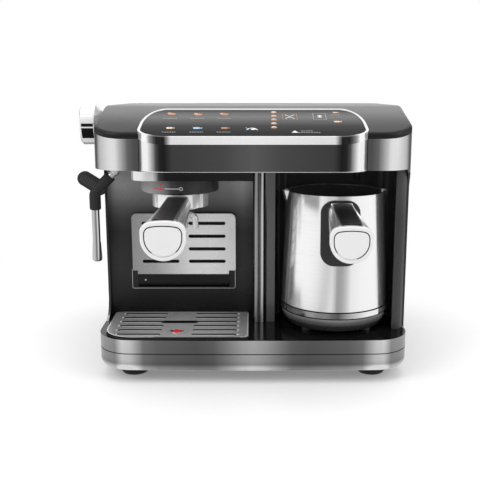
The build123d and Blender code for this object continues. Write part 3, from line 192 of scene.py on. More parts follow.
def painted_front_shade(tree, colour, below, factor):
    """Painted shade: multiplies a colour by factor on faces that look to the front below a height."""
    facing = remap(tree, split(tree, normal_direction(tree))["Y"], 1, 0, -0.6, -0.2)
    height = split(tree, object_coordinates(tree))["Z"]
    low = remap(tree, height, 1, 0, (below - 2) * MM, below * MM)
    return mix(tree, calculate(tree, "MULTIPLY", facing, low), colour, (*grey(factor), 1), "MULTIPLY")


def shaded(name, axis, stops, metallic, rough, grain=(1200.0, 1200.0, 1200.0), spread=0.04, depth=0.00001,
           both=False, cross=None, faces=None, edge=None, **sockets):
    """Painted reflections, highlights and shade, as a grey that runs along an axis of the part.

    cross is (axis, stops) of a second ramp of painted light that multiplies the first, faces is (flat,
    upright), the painted shade on faces that look up and on faces that stand, and edge is (below, factor) of
    the painted front shade.
    """
    material, tree = principled(name, grey(stops[0][1]), metallic, rough, **sockets)
    colour = position_ramp(tree, axis, stops, both)
    if cross:
        colour = multiply(tree, colour, position_ramp(tree, *cross))
    if faces:
        colour = painted_shade_by_facing(tree, colour, *faces)
    if edge:
        colour = painted_front_shade(tree, colour, *edge)
    fine = noise(tree, grain, detail=2.0)
    dust = mix(tree, remap(tree, fine, 0, 1), (0.93, 0.93, 0.93, 1), (1, 1, 1, 1))
    feed(tree, "Base Color", multiply(tree, colour, dust))
    roughen(tree, noise(tree, grey(22.0)), rough, spread)
    bump(tree, fine, 0.2, depth)
    return material


INLAY_HALF, INLAY_FADE = 12.4, 10.0     # half the strip's width, length of its fade at the root


def inlaid(name, middle, root, dark, light):
    """Dark satin strip about x = middle, with a painted reflection: it fades to bright metal along its edges
    and towards its root.
    """
    material, tree = principled(name, grey(dark), 1.0, 0.24)
    shift = node(tree, "ShaderNodeMapping", {
        "Vector": object_coordinates(tree),
        "Location": (-middle / INLAY_HALF, (9.0 - root) / INLAY_FADE, 0),
        "Scale": (1 / (INLAY_HALF * MM), 1 / (INLAY_FADE * MM), 0),
    })
    place = split(tree, shift.outputs["Vector"])
    before_root = calculate(tree, "MAXIMUM", place["Y"], 0.0)
    joined = node(tree, "ShaderNodeCombineXYZ", {"X": place["X"], "Y": before_root})
    edge = remap(tree, length_of(tree, joined.outputs[0]), 0, 1, 0.72, 1.0)
    tint(tree, edge, grey(dark), grey(light))
    roughen(tree, noise(tree, grey(22.0)), 0.35, 0.03)
    bump(tree, noise(tree, grey(1600.0), detail=2.0), 0.2, 0.00002)
    return material


def ringed(name, stops, front):
    """Polished ring with painted dark reflections across its face before y = front; stops are (mm from
    middle, grey).
    """
    material, tree = principled(name, grey(stops[0][1]), 0.7, 0.10)
    depth = split(tree, object_coordinates(tree))["Y"]
    behind = remap(tree, depth, 0, 1, (front - 1) * MM, front * MM)
    face = position_ramp(tree, "X", stops, both=True)
    feed(tree, "Base Color", mix(tree, behind, face, (0.95, 0.95, 0.95, 1)))
    roughen(tree, noise(tree, grey(22.0)), 0.10, 0.02)
    bump(tree, noise(tree, grey(1800.0), detail=2.0), 0.2, 0.000004)
    return material


# ---------------------------------------------------------------- materials

FINE_LINES = (6.0, 6.0, 5200.0)     # brush lines along the surface, features per metre
TURNED = (8.0, 8.0, 2600.0)
ALONG_X = (6.0, 4200.0, 4200.0)

GROUP_X, GROUP_Y = -79.2, -100.0     # axis of the brew group
POT_X, POT_Y = 92.8, -76.0           # axis of the pot

M = {}


def define(recipe, name, *values, **settings):
    M[name] = recipe(name, *values, **settings)


# metal bands, skins and head, whose graded greys are painted reflections, highlights and shade
# painted reflection: dark at the front edge, lighter towards the rear
define(shaded, "cover", "Y",
       [(-150, 0.006), (-128, 0.008), (-112, 0.025), (-90, 0.07), (-62, 0.15), (-38, 0.19), (150, 0.17)],
       0.0, 0.36, depth=0.00002, Specular_IOR_Level=0.2)
# painted reflections: dark across the front, bright near the corners; painted shade on faces that look to the
# front below z 228
define(shaded, "silver_skin", "X",
       [(0, 0.12), (123, 0.12), (130, 0.20), (137, 0.62), (143, 0.84), (150, 0.76), (156, 0.62), (162, 0.50),
        (170, 0.50)],
       1.0, 0.20, grain=FINE_LINES, both=True, edge=(228, 0.12))
# painted reflections: bright in the middle and near the corners, dark between; a painted highlight 15 to 18.5
# mm high along the lower band's lip; painted shade on faces that look up
define(shaded, "dark_steel", "X",
       [(0, 0.64), (14, 0.55), (42, 0.22), (60, 0.18), (102, 0.19), (118, 0.26), (132, 0.80), (141, 0.82),
        (149, 0.32), (170, 0.40)],
       1.0, 0.24, grain=FINE_LINES, both=True, faces=(0.05, 1.0),
       cross=("Z", [(12, 1.3), (15, 1.9), (18.5, 1.9), (20.5, 1.3), (22.5, 0.75), (27, 0.92), (50, 1.0)]))
# painted reflections: dark across the front, bright at the corners
define(shaded, "fascia_metal", "X",
       [(0, 0.13), (30, 0.09), (82, 0.075), (90, 0.022), (95, 0.022), (99, 0.08), (104, 0.50), (108, 0.92),
        (120, 0.92)],
       1.0, 0.14, both=True)
# painted dark reflections across the ring's front face, about 87 to 105 mm either side of the middle
define(ringed, "ring_chrome",
       [(0, 0.97), (83, 0.98), (87, 0.30), (90, 0.012), (98, 0.010), (101, 0.07), (105, 0.25), (109, 0.85),
        (120, 0.97)],
       -147.0)
# painted reflection: a light band across the dark glass at about y -85
define(shaded, "panel_glass", "Y",
       [(-154, 0.001), (-140, 0.003), (-116, 0.028), (-96, 0.11), (-85, 0.16), (-72, 0.12), (-63, 0.05),
        (-56, 0.03)],
       0.0, 0.09, spread=0.02, depth=0.000004, Specular_IOR_Level=0.02)
# painted reflection and shade: light at the left end, black from x -97 on
define(shaded, "shroud", "X", [(-130, 0.85), (-103, 0.80), (-97, 0.05), (-90, 0.005), (170, 0.006)],
       0.6, 0.14)

# tower, bay and pillar, with painted light, shade and highlights
# painted light and shade: dark towards the bottom, lighter towards the top, with a painted highlight near the
# pillar
define(shaded, "tower", "Z",
       [(50, 0.004), (75, 0.012), (105, 0.026), (150, 0.022), (165, 0.045), (178, 0.09), (195, 0.23),
        (205, 0.33), (230, 0.36)],
       0.0, 0.26, Specular_IOR_Level=0.25,
       cross=("X", [(-165, 1.0), (-42, 1.0), (-26, 1.15), (-12, 1.7), (-3, 1.4)]))
# painted highlights: narrow light streaks down the bay's walls
define(shaded, "liner", "X",
       [(4, 0.12), (28, 0.10), (30, 0.30), (32, 0.10), (36, 0.10), (38, 0.24), (40, 0.10), (146, 0.12),
        (150, 0.26), (152, 0.10), (155, 0.24), (157, 0.12), (160, 0.12)],
       0.0, 0.12, spread=0.02, Specular_IOR_Level=0.6)
# painted reflection: darkest at about z 175, lighter at foot and top
define(shaded, "grey_post", "Z", [(50, 0.062), (120, 0.05), (175, 0.042), (210, 0.065), (230, 0.07)],
       0.0, 0.24, Specular_IOR_Level=0.3)
# painted highlights and dark reflections in narrow bands across the trim
define(shaded, "trim_chrome", "X",
       [(-2, 0.012), (1.6, 0.012), (2.4, 0.40), (3.6, 0.46), (5.6, 0.24), (8.6, 0.24), (9.8, 0.60),
        (10.6, 0.95), (11.3, 0.60), (11.9, 0.012), (16, 0.012)],
       0.8, 0.30)

# brew group, shelf, tray and wand, with painted reflections and shade
# painted reflection: light at the left, dark to the right
define(shaded, "collar", "X",
       [(-122, 0.36), (-106, 0.33), (-93, 0.20), (-85, 0.05), (-70, 0.022), (-58, 0.036), (-30, 0.036)],
       0.0, 0.28, Specular_IOR_Level=0.3)
define(grained, "body_chrome", grey(0.90), 0.60, 0.12, spread=0.03, depth=0.000006, lift=1.05)
# painted reflection: light at the left, dark at the right
define(shaded, "spout_chrome", "X", [(-100, 0.80), (-63, 0.75), (-58, 0.45), (-54, 0.10), (-48, 0.08)],
       0.7, 0.14)
# painted reflection: a bright shell that darkens towards its right; the inlay's fade to bright metal is a
# painted reflection
define(shaded, "left_handle", "X", [(-105, 0.92), (-70, 0.86), (-65, 0.40), (-55, 0.32)], 0.4, 0.16)
define(inlaid, "portafilter_inlay", GROUP_X, -134, 0.045, 0.8)
# painted reflection: darker at the left, bright to the right
define(shaded, "plate_steel", "X", [(-140, 0.34), (-112, 0.46), (-72, 0.92), (-48, 0.97), (-18, 0.90)],
       0.25, 0.28, grain=ALONG_X)
# painted reflection along x, and painted shade on faces that stand, such as the walls of the slots
define(shaded, "grid_steel", "X", [(-165, 0.34), (-140, 0.40), (-84, 0.62), (-40, 0.60), (-5, 0.50)],
       0.35, 0.36, grain=ALONG_X, faces=(1.0, 0.02))
# painted reflections: narrow dark and bright lines along the tube
define(shaded, "wand_chrome", "X",
       [(-180, 0.60), (-176, 0.60), (-173.6, 0.50), (-171.8, 0.22), (-170.8, 0.80), (-170.0, 0.60),
        (-169.4, 0.03), (-168.4, 0.05), (-167.4, 0.5), (-140, 0.7)],
       1.0, 0.12)
define(grained, "knob_chrome", grey(0.92), 0.50, 0.12, spread=0.03, depth=0.000006, lift=1.05)

# pot, with painted reflections, light and shade
# painted reflection: a darker band down the pot between x 88 and 105
define(shaded, "pot_steel", "X",
       [(30, 0.98), (85, 0.98), (88, 0.76), (90.5, 0.54), (96, 0.60), (100, 0.72), (105, 0.96), (160, 0.98)],
       0.94, 0.17, grain=TURNED, depth=0.000006, Anisotropic=0.5)
# painted reflections: dark and light bands round the ring, bright to the right
define(shaded, "pot_ring_steel", "X",
       [(30, 0.40), (52, 0.22), (64, 0.50), (80, 0.30), (92, 0.16), (104, 0.50), (125, 0.98), (150, 0.98)],
       0.9, 0.12)
# painted light and shade: dark at the bottom of the base, lighter towards its top
define(shaded, "dark_satin", "Z", [(50, 0.03), (60, 0.06), (64, 0.14), (67, 0.30), (70, 0.34)], 0.0, 0.28)
# painted reflection: dark at the left, bright to the right; the inlay's fade to bright metal is a painted
# reflection
define(shaded, "right_handle", "X", [(66, 0.10), (72, 0.16), (80, 0.34), (85, 0.86), (118, 0.92)], 0.4, 0.16)
define(inlaid, "pot_inlay", POT_X, -138, 0.045, 0.8)
# painted shade: a darker grey for the inside of the pot
define(grained, "pot_inner", grey(0.42), 0.70, 0.22, spread=0.05, depth=0.00001)

# shared metals and plastics
define(grained, "chrome", grey(0.88), 1.0, 0.05, spread=0.02, depth=0.000004, lift=1.02)
define(grained, "bead_chrome", grey(0.55), 0.7, 0.2, spread=0.03, depth=0.000004, lift=1.05)
# painted glint: a pale colour for small highlights on the grid's bumps, slot edges and plate edges
define(grained, "bright_steel", grey(0.85), 0.1, 0.35, depth=0.000006)
define(brushed, "steel", grey(0.66), 0.25, FINE_LINES, 0.4)
define(grained, "aluminium", grey(0.60), 1.0, 0.45, depth=0.00008)
define(grained, "black_gloss", grey(0.006), 0.0, 0.14, spread=0.02, depth=0.00001, Specular_IOR_Level=0.25)
define(grained, "black_satin", grey(0.018), 0.0, 0.30, Specular_IOR_Level=0.35)
define(grained, "black_matte", grey(0.018), 0.0, 0.55, depth=0.00006)
# black for seams and the knob's dark strips, and painted shade in the caps' grooves and the grid's slots
define(grained, "seam_black", grey(0.004), 0.0, 0.42, Specular_IOR_Level=0.08)
define(grained, "rubber", grey(0.018), 0.0, 0.72, depth=0.0001, Specular_IOR_Level=0.3)
define(grained, "rib_rubber", grey(0.05), 0.0, 0.5, depth=0.00005)
define(grained, "silicone", grey(0.70), 0.0, 0.45)
define(grained, "cap_white", grey(0.84), 0.0, 0.16, spread=0.02, lift=1.03,
       Coat_Weight=0.4, Coat_Roughness=0.06)
define(grained, "clear_tank", (0.55, 0.60, 0.64), 0.0, 0.08, spread=0.02, depth=0.000004,
       Transmission_Weight=0.75, IOR=1.49)
define(grained, "board_green", (0.02, 0.14, 0.06), 0.0, 0.40)
define(grained, "signal_red", (0.95, 0.05, 0.06), 0.0, 0.22, spread=0.03, lift=1.04)

INKS = {
    "white": ((0.85, 0.86, 0.86), 1.05),
    "blue": ((0.30, 0.52, 0.75), 1.3),
    "orange": ((0.42, 0.17, 0.07), 1.5),
    "cream": ((0.80, 0.55, 0.34), 1.1),
    "grey": (grey(0.30), 1.1),
    "red": ((0.70, 0.04, 0.04), 1.1),
}
for ink, (colour, lift) in INKS.items():
    define(grained, "ink_" + ink, colour, 0.0, 0.45, lift=lift)

NODE_MATERIALS = {
    "cover": "top_cover",
    "black_gloss": "base_deck shelf_bar",
    "liner": "pot_bay_liner",
    "shroud": "head_underside",
    "portafilter_inlay": "portafilter_inlay",
    "pot_inlay": "pot_inlay",
    "black_satin": "pot_handle_plate drip_tray tank_lid",
    "dark_satin": "pot_base",
    "black_matte": "base_pan rear_cover pump steam_valve pot_dock pot_fill_nozzle power_board",
    "silver_skin": "left_side_skin right_side_skin",
    "dark_steel": "base_lower_band base_upper_band",
    "fascia_metal": "head_fascia",
    "ring_chrome": "head_ring",
    "left_handle": "portafilter_handle",
    "right_handle": "pot_handle",
    "body_chrome": "portafilter_body",
    "spout_chrome": "portafilter_spout",
    "trim_chrome": "pillar_trim",
    "wand_chrome": "wand_tube wand_nozzle",
    "knob_chrome": "steam_knob",
    "chrome": "wand_collar",
    "pot_ring_steel": "pot_ring",
    "steel": "foot_screws shelf_hinge_pins shower_screen filter_basket brew_boiler "
             "knob_spindle wand_socket pot_heater",
    "pot_steel": "pot_body",
    "plate_steel": "cup_shelf",
    "grid_steel": "drip_grid",
    "panel_glass": "touch_panel",
    "tower": "tower_front_panel",
    "grey_post": "right_wall",
    "collar": "group_collar",
    "clear_tank": "water_tank",
    "rubber": "feet group_gasket wand_grip power_inlet",
    "aluminium": "group_head",
    "board_green": "control_board",
    "signal_red": "float_indicator",
    "cap_white": "portafilter_end_cap pot_end_cap",
    "silicone": "hoses",
}

for material_name, names in NODE_MATERIALS.items():
    for name in names.split():
        NODES[name].data.materials.clear()
        NODES[name].data.materials.append(M[material_name])


# ---------------------------------------------------------------- flat outlines

def steps(start, end, n):
    """The n + 1 even steps from start to end."""
    return [start + (end - start) * i / n for i in range(n + 1)]


def band(points, width):
    """Closed outline of a line along points; width is one number, or one for each point."""
    left, right = [], []
    widths = width if isinstance(width, list) else [width] * len(points)
    for i, ((x, y), across) in enumerate(zip(points, widths)):
        x0, y0 = points[max(i - 1, 0)]
        x1, y1 = points[min(i + 1, len(points) - 1)]
        size = math.hypot(x1 - x0, y1 - y0) or 1.0
        nx, ny = -(y1 - y0) / size * across / 2, (x1 - x0) / size * across / 2
        left.append((x + nx, y + ny))
        right.append((x - nx, y - ny))
    return left + right[::-1]


def oval(x, y, rx, ry, n=20):
    return [(x + rx * math.cos(a), y + ry * math.sin(a)) for a in steps(0, 2 * math.pi, n)[:-1]]


def stadium(x, y, length, width, n=10):
    """Long hole with round ends."""
    r, half = width / 2, (length - width) / 2
    right = [(x + half + r * math.sin(a), y - r * math.cos(a)) for a in steps(0, math.pi, n)]
    return right + [(2 * x - u, 2 * y - v) for u, v in right]


def bar(x0, x1, y0, y1):
    return [(x0, y0), (x1, y0), (x1, y1), (x0, y1)]


def frame_bars(x0, x1, y0, y1, w):
    """Four thin bars around a box."""
    return [bar(x0, x1, y0, y0 + w), bar(x0, x1, y1 - w, y1),
            bar(x0, x0 + w, y0 + w, y1 - w), bar(x1 - w, x1, y0 + w, y1 - w)]


# ---------------------------------------------------------------- pieces

def mesh_piece(name, verts, faces, material, body, smooth=True):
    """Mesh that rides on a body."""
    mesh = bpy.data.meshes.new(name)
    mesh.from_pydata([Vector(v) * MM for v in verts], [], faces)
    bm = bmesh.new()
    bm.from_mesh(mesh)
    bmesh.ops.remove_doubles(bm, verts=bm.verts, dist=1e-7)
    bmesh.ops.recalc_face_normals(bm, faces=bm.faces)
    bm.to_mesh(mesh)
    bm.free()
    mesh.materials.append(M[material])
    for polygon in mesh.polygons:
        polygon.use_smooth = smooth
    piece = bpy.data.objects.new(name, mesh)
    bpy.context.scene.collection.objects.link(piece)
    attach(piece, body)


def raised(name, outlines, to_row, thickness, material, body):
    """Thin printed or inset marks: closed outlines raised by thickness and placed by to_row(u, v, height)."""
    verts, faces = [], []
    for outline in outlines:
        n, start = len(outline), len(verts)
        verts += [to_row(u, v, 0.0) for u, v in outline] + [to_row(u, v, thickness) for u, v in outline]
        faces.append(tuple(range(start + n, start + 2 * n)))
        for i in range(n):
            j = (i + 1) % n
            faces.append((start + i, start + j, start + n + j, start + n + i))
    mesh_piece(name, verts, faces, material, body, smooth=False)


def swept(name, path, profile, material, body, closed):
    """Tube of a profile of (across, up) points along a path of (point, across, up) stations."""
    verts, faces = [], []
    n, m = len(path), len(profile)
    for point, across, up in path:
        verts += [point + a * across + b * up for a, b in profile]
    for i in range(n if closed else n - 1):
        j = (i + 1) % n
        for k in range(m):
            q = (k + 1) % m
            faces.append((i * m + k, i * m + q, j * m + q, j * m + k))
    if not closed:
        faces.append(tuple(range(m)))
        faces.append(tuple((n - 1) * m + k for k in range(m)))
    mesh_piece(name, verts, faces, material, body)


UP = Vector((0, 0, 1))


def lathe(name, profile, x, y, material, body, n, start=0.0, end=360.0):
    """Ring turned about the upright through (x, y); profile is a closed list of (radius, z)."""
    whole = end - start >= 360.0
    path = []
    for degrees in steps(start, end, n)[:n if whole else n + 1]:
        a = math.radians(degrees)
        path.append((Vector((x, y, 0)), Vector((math.sin(a), -math.cos(a), 0)), UP))
    swept(name, path, profile, material, body, closed=whole)


def trim_line(name, points, z, profile, material, body):
    """Fine trim along (x, y) points at height z; profile is (outward, up) points."""
    path = []
    for i, (x, y) in enumerate(points):
        x0, y0 = points[max(i - 1, 0)]
        x1, y1 = points[min(i + 1, len(points) - 1)]
        along = Vector((x1 - x0, y1 - y0, 0)).normalized()
        path.append((Vector((x, y, z)), Vector((along.y, -along.x, 0)), UP))
    swept(name, path, profile, material, body, closed=False)


# ---------------------------------------------------------------- control panel prints

PANEL_Z0, PANEL_Y0, PANEL_SLOPE = 265.6, -154.0, 0.249     # front edge of the glass, and its rise
TILT = math.atan(PANEL_SLOPE)


def on_panel(u, v, h):
    """Point on the sloping glass, from its x and y and a height over it."""
    return (u, v - h * math.sin(TILT), PANEL_Z0 + PANEL_SLOPE * (v - PANEL_Y0) + h * math.cos(TILT))


def cup_icon(x, y, k):
    """Little cup with its ear, seen from the front; k is its size."""
    def at(points):
        return [(x + u * k, y + v * k) for u, v in points]
    cup = at([(-3.2, 2.2), (2.8, 2.2), (2.2, -2.0), (-2.4, -2.0)])
    ear = at([(2.6, 1.4), (4.6, 1.2), (4.2, -0.6), (2.5, -0.9)])
    return [cup, band(ear, 0.9 * k)]


DASH, DASH_GAP, DASH_W = 1.9, 0.7, 1.6


def dash_row(x, y, half):
    """Row of short dashes that stands for a caption."""
    out, at = [], x - half
    while at < x + half - 0.5:
        out.append(bar(at, at + min(DASH, x + half - at), y - DASH_W / 2, y + DASH_W / 2))
        at += DASH + DASH_GAP
    return out


def add_panel_prints():
    prints = {"orange": [], "cream": [], "white": [], "blue": [], "grey": []}
    # rear row of drinks: a bean shape with a highlight, and a caption
    for x, y in ((-89.4, -73.5), (-60.0, -75.3), (-31.4, -74.6)):
        prints["orange"].append(oval(x, y, 4.4, 3.6))
        prints["cream"].append(oval(x - 2.6, y + 2.4, 2.6, 1.8))
        prints["grey"] += dash_row(x, -89.6, 8.0)
    # front row of drinks: cups with foam, and captions
    prints["cream"] += cup_icon(-87.2, -123.5, 1.15)
    prints["white"].append(oval(-87.2, -121.5, 3.4, 1.3))
    prints["blue"] += cup_icon(-58.9, -123.8, 1.25)
    prints["white"].append(oval(-58.9, -121.6, 3.4, 1.3))
    prints["orange"] += cup_icon(-29.9, -123.6, 1.15)
    prints["cream"].append(oval(-29.9, -121.6, 3.2, 1.2))
    for x in (-86.9, -58.4, -30.3):
        prints["grey"] += dash_row(x, -136.5, 7.0)
    # steam mark
    arch = [(-6.2, -129.2), (-4.2, -124.6), (-1.0, -122.8), (2.4, -124.8), (4.8, -129.6)]
    prints["white"].append(band(arch, 1.2))
    prints["white"].append(oval(0.2, -127.0, 2.6, 2.2))
    prints["blue"].append(band([(-7.4, -122.0), (-5.6, -126.0), (-6.8, -130.0)], 0.9))
    # column of five cups
    for i, y in enumerate((-67.1, -80.9, -93.9, -107.3, -120.6)):
        x = 22.9 - 0.22 * i
        prints["white"].append(oval(x, y + 0.9, 2.6, 2.2))
        prints["orange"].append(oval(x, y - 1.2, 3.4, 2.6))
    # two framed marks
    prints["orange"] += frame_bars(32.0, 48.1, -93.9, -73.5, 0.45)
    prints["white"] += [band([(35.0, -77.0), (40.0, -82.6), (45.2, -77.0)], 1.0),
                        band([(35.0, -90.4), (40.0, -84.6), (45.2, -90.4)], 1.0)]
    prints["grey"] += frame_bars(65.3, 79.8, -93.9, -71.2, 0.7)
    prints["white"] += [bar(70.4, 75.2, -80.6, -79.0), bar(70.4, 75.2, -86.0, -84.4),
                        bar(71.9, 73.7, -84.4, -80.6)]
    # cups at the right end
    prints["cream"] += cup_icon(91.0, -68.2, 0.85)
    prints["grey"] += dash_row(90.8, -77.2, 5.5)
    prints["cream"] += cup_icon(89.9, -101.4, 1.1)
    # warning sign and its two lines
    prints["white"].append([(39.6, -138.4), (46.8, -138.4), (43.2, -131.4)])
    prints["grey"] += dash_row(56.0, -132.9, 6.5) + dash_row(58.0, -138.1, 11.5)
    for colour, outlines in prints.items():
        raised("panel_prints_" + colour, outlines, on_panel, 0.12, "ink_" + colour, "housing")


add_panel_prints()


# ---------------------------------------------------------------- brew group marks

COLLAR_R = 42.0


def on_collar(u, v, h):
    """Point on the collar: u is the angle from the front towards +X in degrees, v the height."""
    a = math.radians(u)
    r = COLLAR_R + h
    return (GROUP_X + r * math.sin(a), GROUP_Y - r * math.cos(a), v)


def curved_bar(u0, u1, v0, v1, n=8):
    """Bar on the collar whose long sides follow its curve."""
    across = steps(u0, u1, n)
    return [(u, v0) for u in across] + [(u, v1) for u in across[::-1]]


def add_collar_marks():
    dot = oval(-23.0, 216.1, 1.5, 1.1, 16)
    arrow_head = [(-25.5, 209.6), (-19.0, 211.4), (-25.5, 213.2)]
    raised("collar_marks_red", [dot, curved_bar(-35.5, -24.0, 210.9, 211.9), arrow_head],
           on_collar, 0.15, "ink_red", "housing")
    ring = oval(6.3, 211.8, 2.2, 1.6, 12)
    ring_parts = [band([a, b], 0.55) for a, b in zip(ring, ring[1:] + ring[:1])]
    raised("collar_marks_white", [curved_bar(-17.5, 3.5, 211.5, 212.1, 12)] + ring_parts,
           on_collar, 0.15, "ink_white", "housing")


add_collar_marks()


# ---------------------------------------------------------------- end caps

CAP_GROOVE = (33.4, 27.5, 2.0, 6.5)     # width, height, crown and corner radius of the groove's middle line


def shield_points(w, h, crown, r, n=12):
    """Outline of a shield from the middle of its foot round to the right: crowned top and half-round foot."""
    half, top, low = w / 2, h / 2 - crown, w / 2 - h / 2
    big = (half * half + crown * crown) / (2 * crown)
    foot = [(half * math.sin(a), low - half * math.cos(a)) for a in steps(0, math.pi / 2, 2 * n)]
    reach = math.asin((half - r) / big)
    arch = [(big * math.sin(a), h / 2 - big + big * math.cos(a)) for a in steps(reach, 0, n)]
    corner = []
    for t in steps(0, 1, n)[1:-1]:
        a, b, c = (1 - t) ** 2, 2 * t * (1 - t), t * t
        corner.append((a * half + b * half + c * arch[0][0], a * (top - r) + b * top + c * arch[0][1]))
    right = foot + [(half, top - r)] + corner + arch
    return right + [(-x, y) for x, y in right[-2:0:-1]]


def cap_groove_shade(name, x, y, z, body, first, last):
    """Painted shade: a dark band in the groove of an end cap, wider along the top, from one share of the way
    round from its foot to another.
    """
    line = [(u, v - 0.15) for u, v in shield_points(*CAP_GROOVE)]
    part = line[int(first * len(line)):int(last * len(line)) + 1]
    end = len(part) - 1
    widths = []
    for i, (_, v) in enumerate(part):
        taper = min(1.0, 0.35 + 0.16 * min(i, end - i))
        widths.append(taper * (1.75 if v > 9.0 else 1.25))
    raised(name, [band(part, widths)], lambda u, v, h: (x + u, y + 0.6 - h, z + v), 0.55,
           "seam_black", body)


cap_groove_shade("portafilter_cap_groove_shade", GROUP_X, -273.0, 183.6, "portafilter", 0.12, 0.90)
cap_groove_shade("pot_cap_groove_shade", POT_X, -228.0, 170.4, "pot", 0.06, 0.86)


# ---------------------------------------------------------------- steam knob and wand

KNOB_Y, KNOB_Z, KNOB_R = -45.0, 273.0, 23.0
STRIP_SINK, STRIP_RISE = 0.3, 0.12


def add_knob_strips(name, spans, material):
    """Strips let into the knob's rim: spans are (x0, x1, low, high) with the elevations in degrees."""
    verts, faces = [], []
    for x0, x1, low, high in spans:
        n, start = max(2, int((high - low) / 3)), len(verts)
        for degrees in steps(low, high, n):
            a = math.radians(degrees)
            for r in (KNOB_R - STRIP_SINK, KNOB_R + STRIP_RISE):
                verts += [(x, KNOB_Y - r * math.cos(a), KNOB_Z + r * math.sin(a)) for x in (x0, x1)]
        for i in range(n):
            a, b = start + 4 * i, start + 4 * (i + 1)
            faces += [(a + 2, a + 3, b + 3, b + 2), (a, b, b + 1, a + 1),
                      (a, a + 2, b + 2, b), (a + 1, b + 1, b + 3, a + 3)]
        end = start + 4 * n
        faces += [(start, start + 1, start + 3, start + 2), (end, end + 2, end + 3, end + 1)]
    mesh_piece(name, verts, faces, material, "knob", smooth=False)


# dark strips across the front of the knob's rim
add_knob_strips("knob_dark_strips", [(-191.6, -178.4, -3.8, 4.7), (-191.6, -178.4, -39.4, -8.0)], "seam_black")
add_knob_strips("knob_line", [(-193.0, -178.0, 57.4, 59.2)], "ink_grey")


GRIP_FRONT, GRIP_REAR = -103.9, -96.1
RIB_COUNT, RIB_PITCH = 8, 2.3


def add_grip_ribs():
    """Ribs across the thumb tab of the wand's grip, on its front and its back."""
    tip, foot = Vector((-182.7, 217.5)), Vector((-166.7, 207.3))
    along = (foot - tip).normalized()
    across = Vector((-along.y, along.x))
    outlines = []
    for k in range(RIB_COUNT):
        at = tip + along * (-3.4 + RIB_PITCH * k)
        reach = 4.6 if 0 < k < RIB_COUNT - 1 else 3.6
        outlines.append(band([tuple(at - across * reach), tuple(at + across * reach)], 0.9))
    raised("grip_ribs_front", outlines, lambda u, v, h: (u, GRIP_FRONT - h, v), 0.5,
           "rib_rubber", "wand")
    raised("grip_ribs_back", outlines, lambda u, v, h: (u, GRIP_REAR + h, v), 0.5,
           "rib_rubber", "wand")


add_grip_ribs()


# ---------------------------------------------------------------- pot details

POT_TOP_R, POT_FOOT_R = 54.5, 60.0
POT_TOP_Z, POT_FOOT_Z = 202.0, 75.0
POT_SKIN = 1.25             # wall and a hair of play
POT_SEAM_R = 60.45


def pot_r(z):
    """Outer radius of the pot at a height."""
    return POT_TOP_R + (POT_FOOT_R - POT_TOP_R) * (POT_TOP_Z - z) / (POT_TOP_Z - POT_FOOT_Z)


def add_pot_seam(name, inner, low, high):
    lathe(name, [(inner, low), (POT_SEAM_R, low), (POT_SEAM_R, high), (inner, high)],
          POT_X, POT_Y, "seam_black", "pot", n=128)


add_pot_seam("pot_seam_upper", pot_r(76.2) - 0.3, 75.05, 76.2)
add_pot_seam("pot_seam_lower", 59.2, 67.9, 68.98)

# painted shade: a darker grey skin on the inner wall of the pot's rear half, seen through its mouth
low_r, high_r = pot_r(90.0) - POT_SKIN, pot_r(200.5) - POT_SKIN
lathe("pot_inner_skin", [(low_r, 90.0), (high_r, 200.5), (high_r - 0.2, 200.5), (low_r - 0.2, 90.0)],
      POT_X, POT_Y, "pot_inner", "pot", n=60, start=106.0, end=254.0)


# ---------------------------------------------------------------- head and shelf details

HEAD_HALF, HEAD_FRONT = 120.0, -154.0
HEAD_CORNER = (34.0, 26.0)     # half axes of the head's elliptical front corners


def head_front(n=14):
    """Front part of the head's outline, from the left side round to the right."""
    cw, cd = HEAD_CORNER
    straight = HEAD_HALF - cw
    left = [(-straight - cw * math.cos(a), HEAD_FRONT + cd - cd * math.sin(a))
            for a in steps(0, math.pi / 2, n)]
    front = [(x, HEAD_FRONT) for x in steps(-straight, straight, 24)[1:-1]]
    right = [(-x, y) for x, y in left[::-1]]
    return [(-HEAD_HALF, -112.0)] + left + front + right + [(HEAD_HALF, -112.0)]


# painted highlight: a bright bead along the fascia's lower edge
trim_line("fascia_bead", head_front(), 230.0, [(-0.4, 0.05), (0.22, 0.25), (0.22, 0.75), (-0.4, 0.95)],
          "bead_chrome", "housing")

# painted highlight: a bright band along the foot and sides of the shelf's recess; and the shelf bar's screw
RIM = [(-142.0, 104.5), (-142.0, 82.6), (-140.9, 81.5), (-22.0, 81.5), (-20.9, 82.6), (-20.9, 104.5)]
RIM_Y, BAR_Y = -53.15, -56.4
raised("recess_rim_highlight", [band(RIM, 0.55)], lambda u, v, h: (u, RIM_Y - h, v), 0.3,
       "bead_chrome", "housing")
raised("shelf_bar_screw", [oval(-126.0, 92.4, 1.0, 1.0, 16)], lambda u, v, h: (u, BAR_Y - h, v), 0.35,
       "bead_chrome", "shelf")


# ---------------------------------------------------------------- drip grid details

GRID_TOP = 52.4
GRID_X, GRID_Y = -83.5, -100.0     # middle of the grid
FLOAT_Y = -126.0
SLOT_ROWS, SLOT_PITCH = 6, 15.0
SLOT_LENGTH, SLOT_MIDDLE = 47.5, 34.0     # SLOT_MIDDLE is free between the two columns of slots


def on_grid(u, v, h):
    return (u, v, GRID_TOP - 0.1 + h)


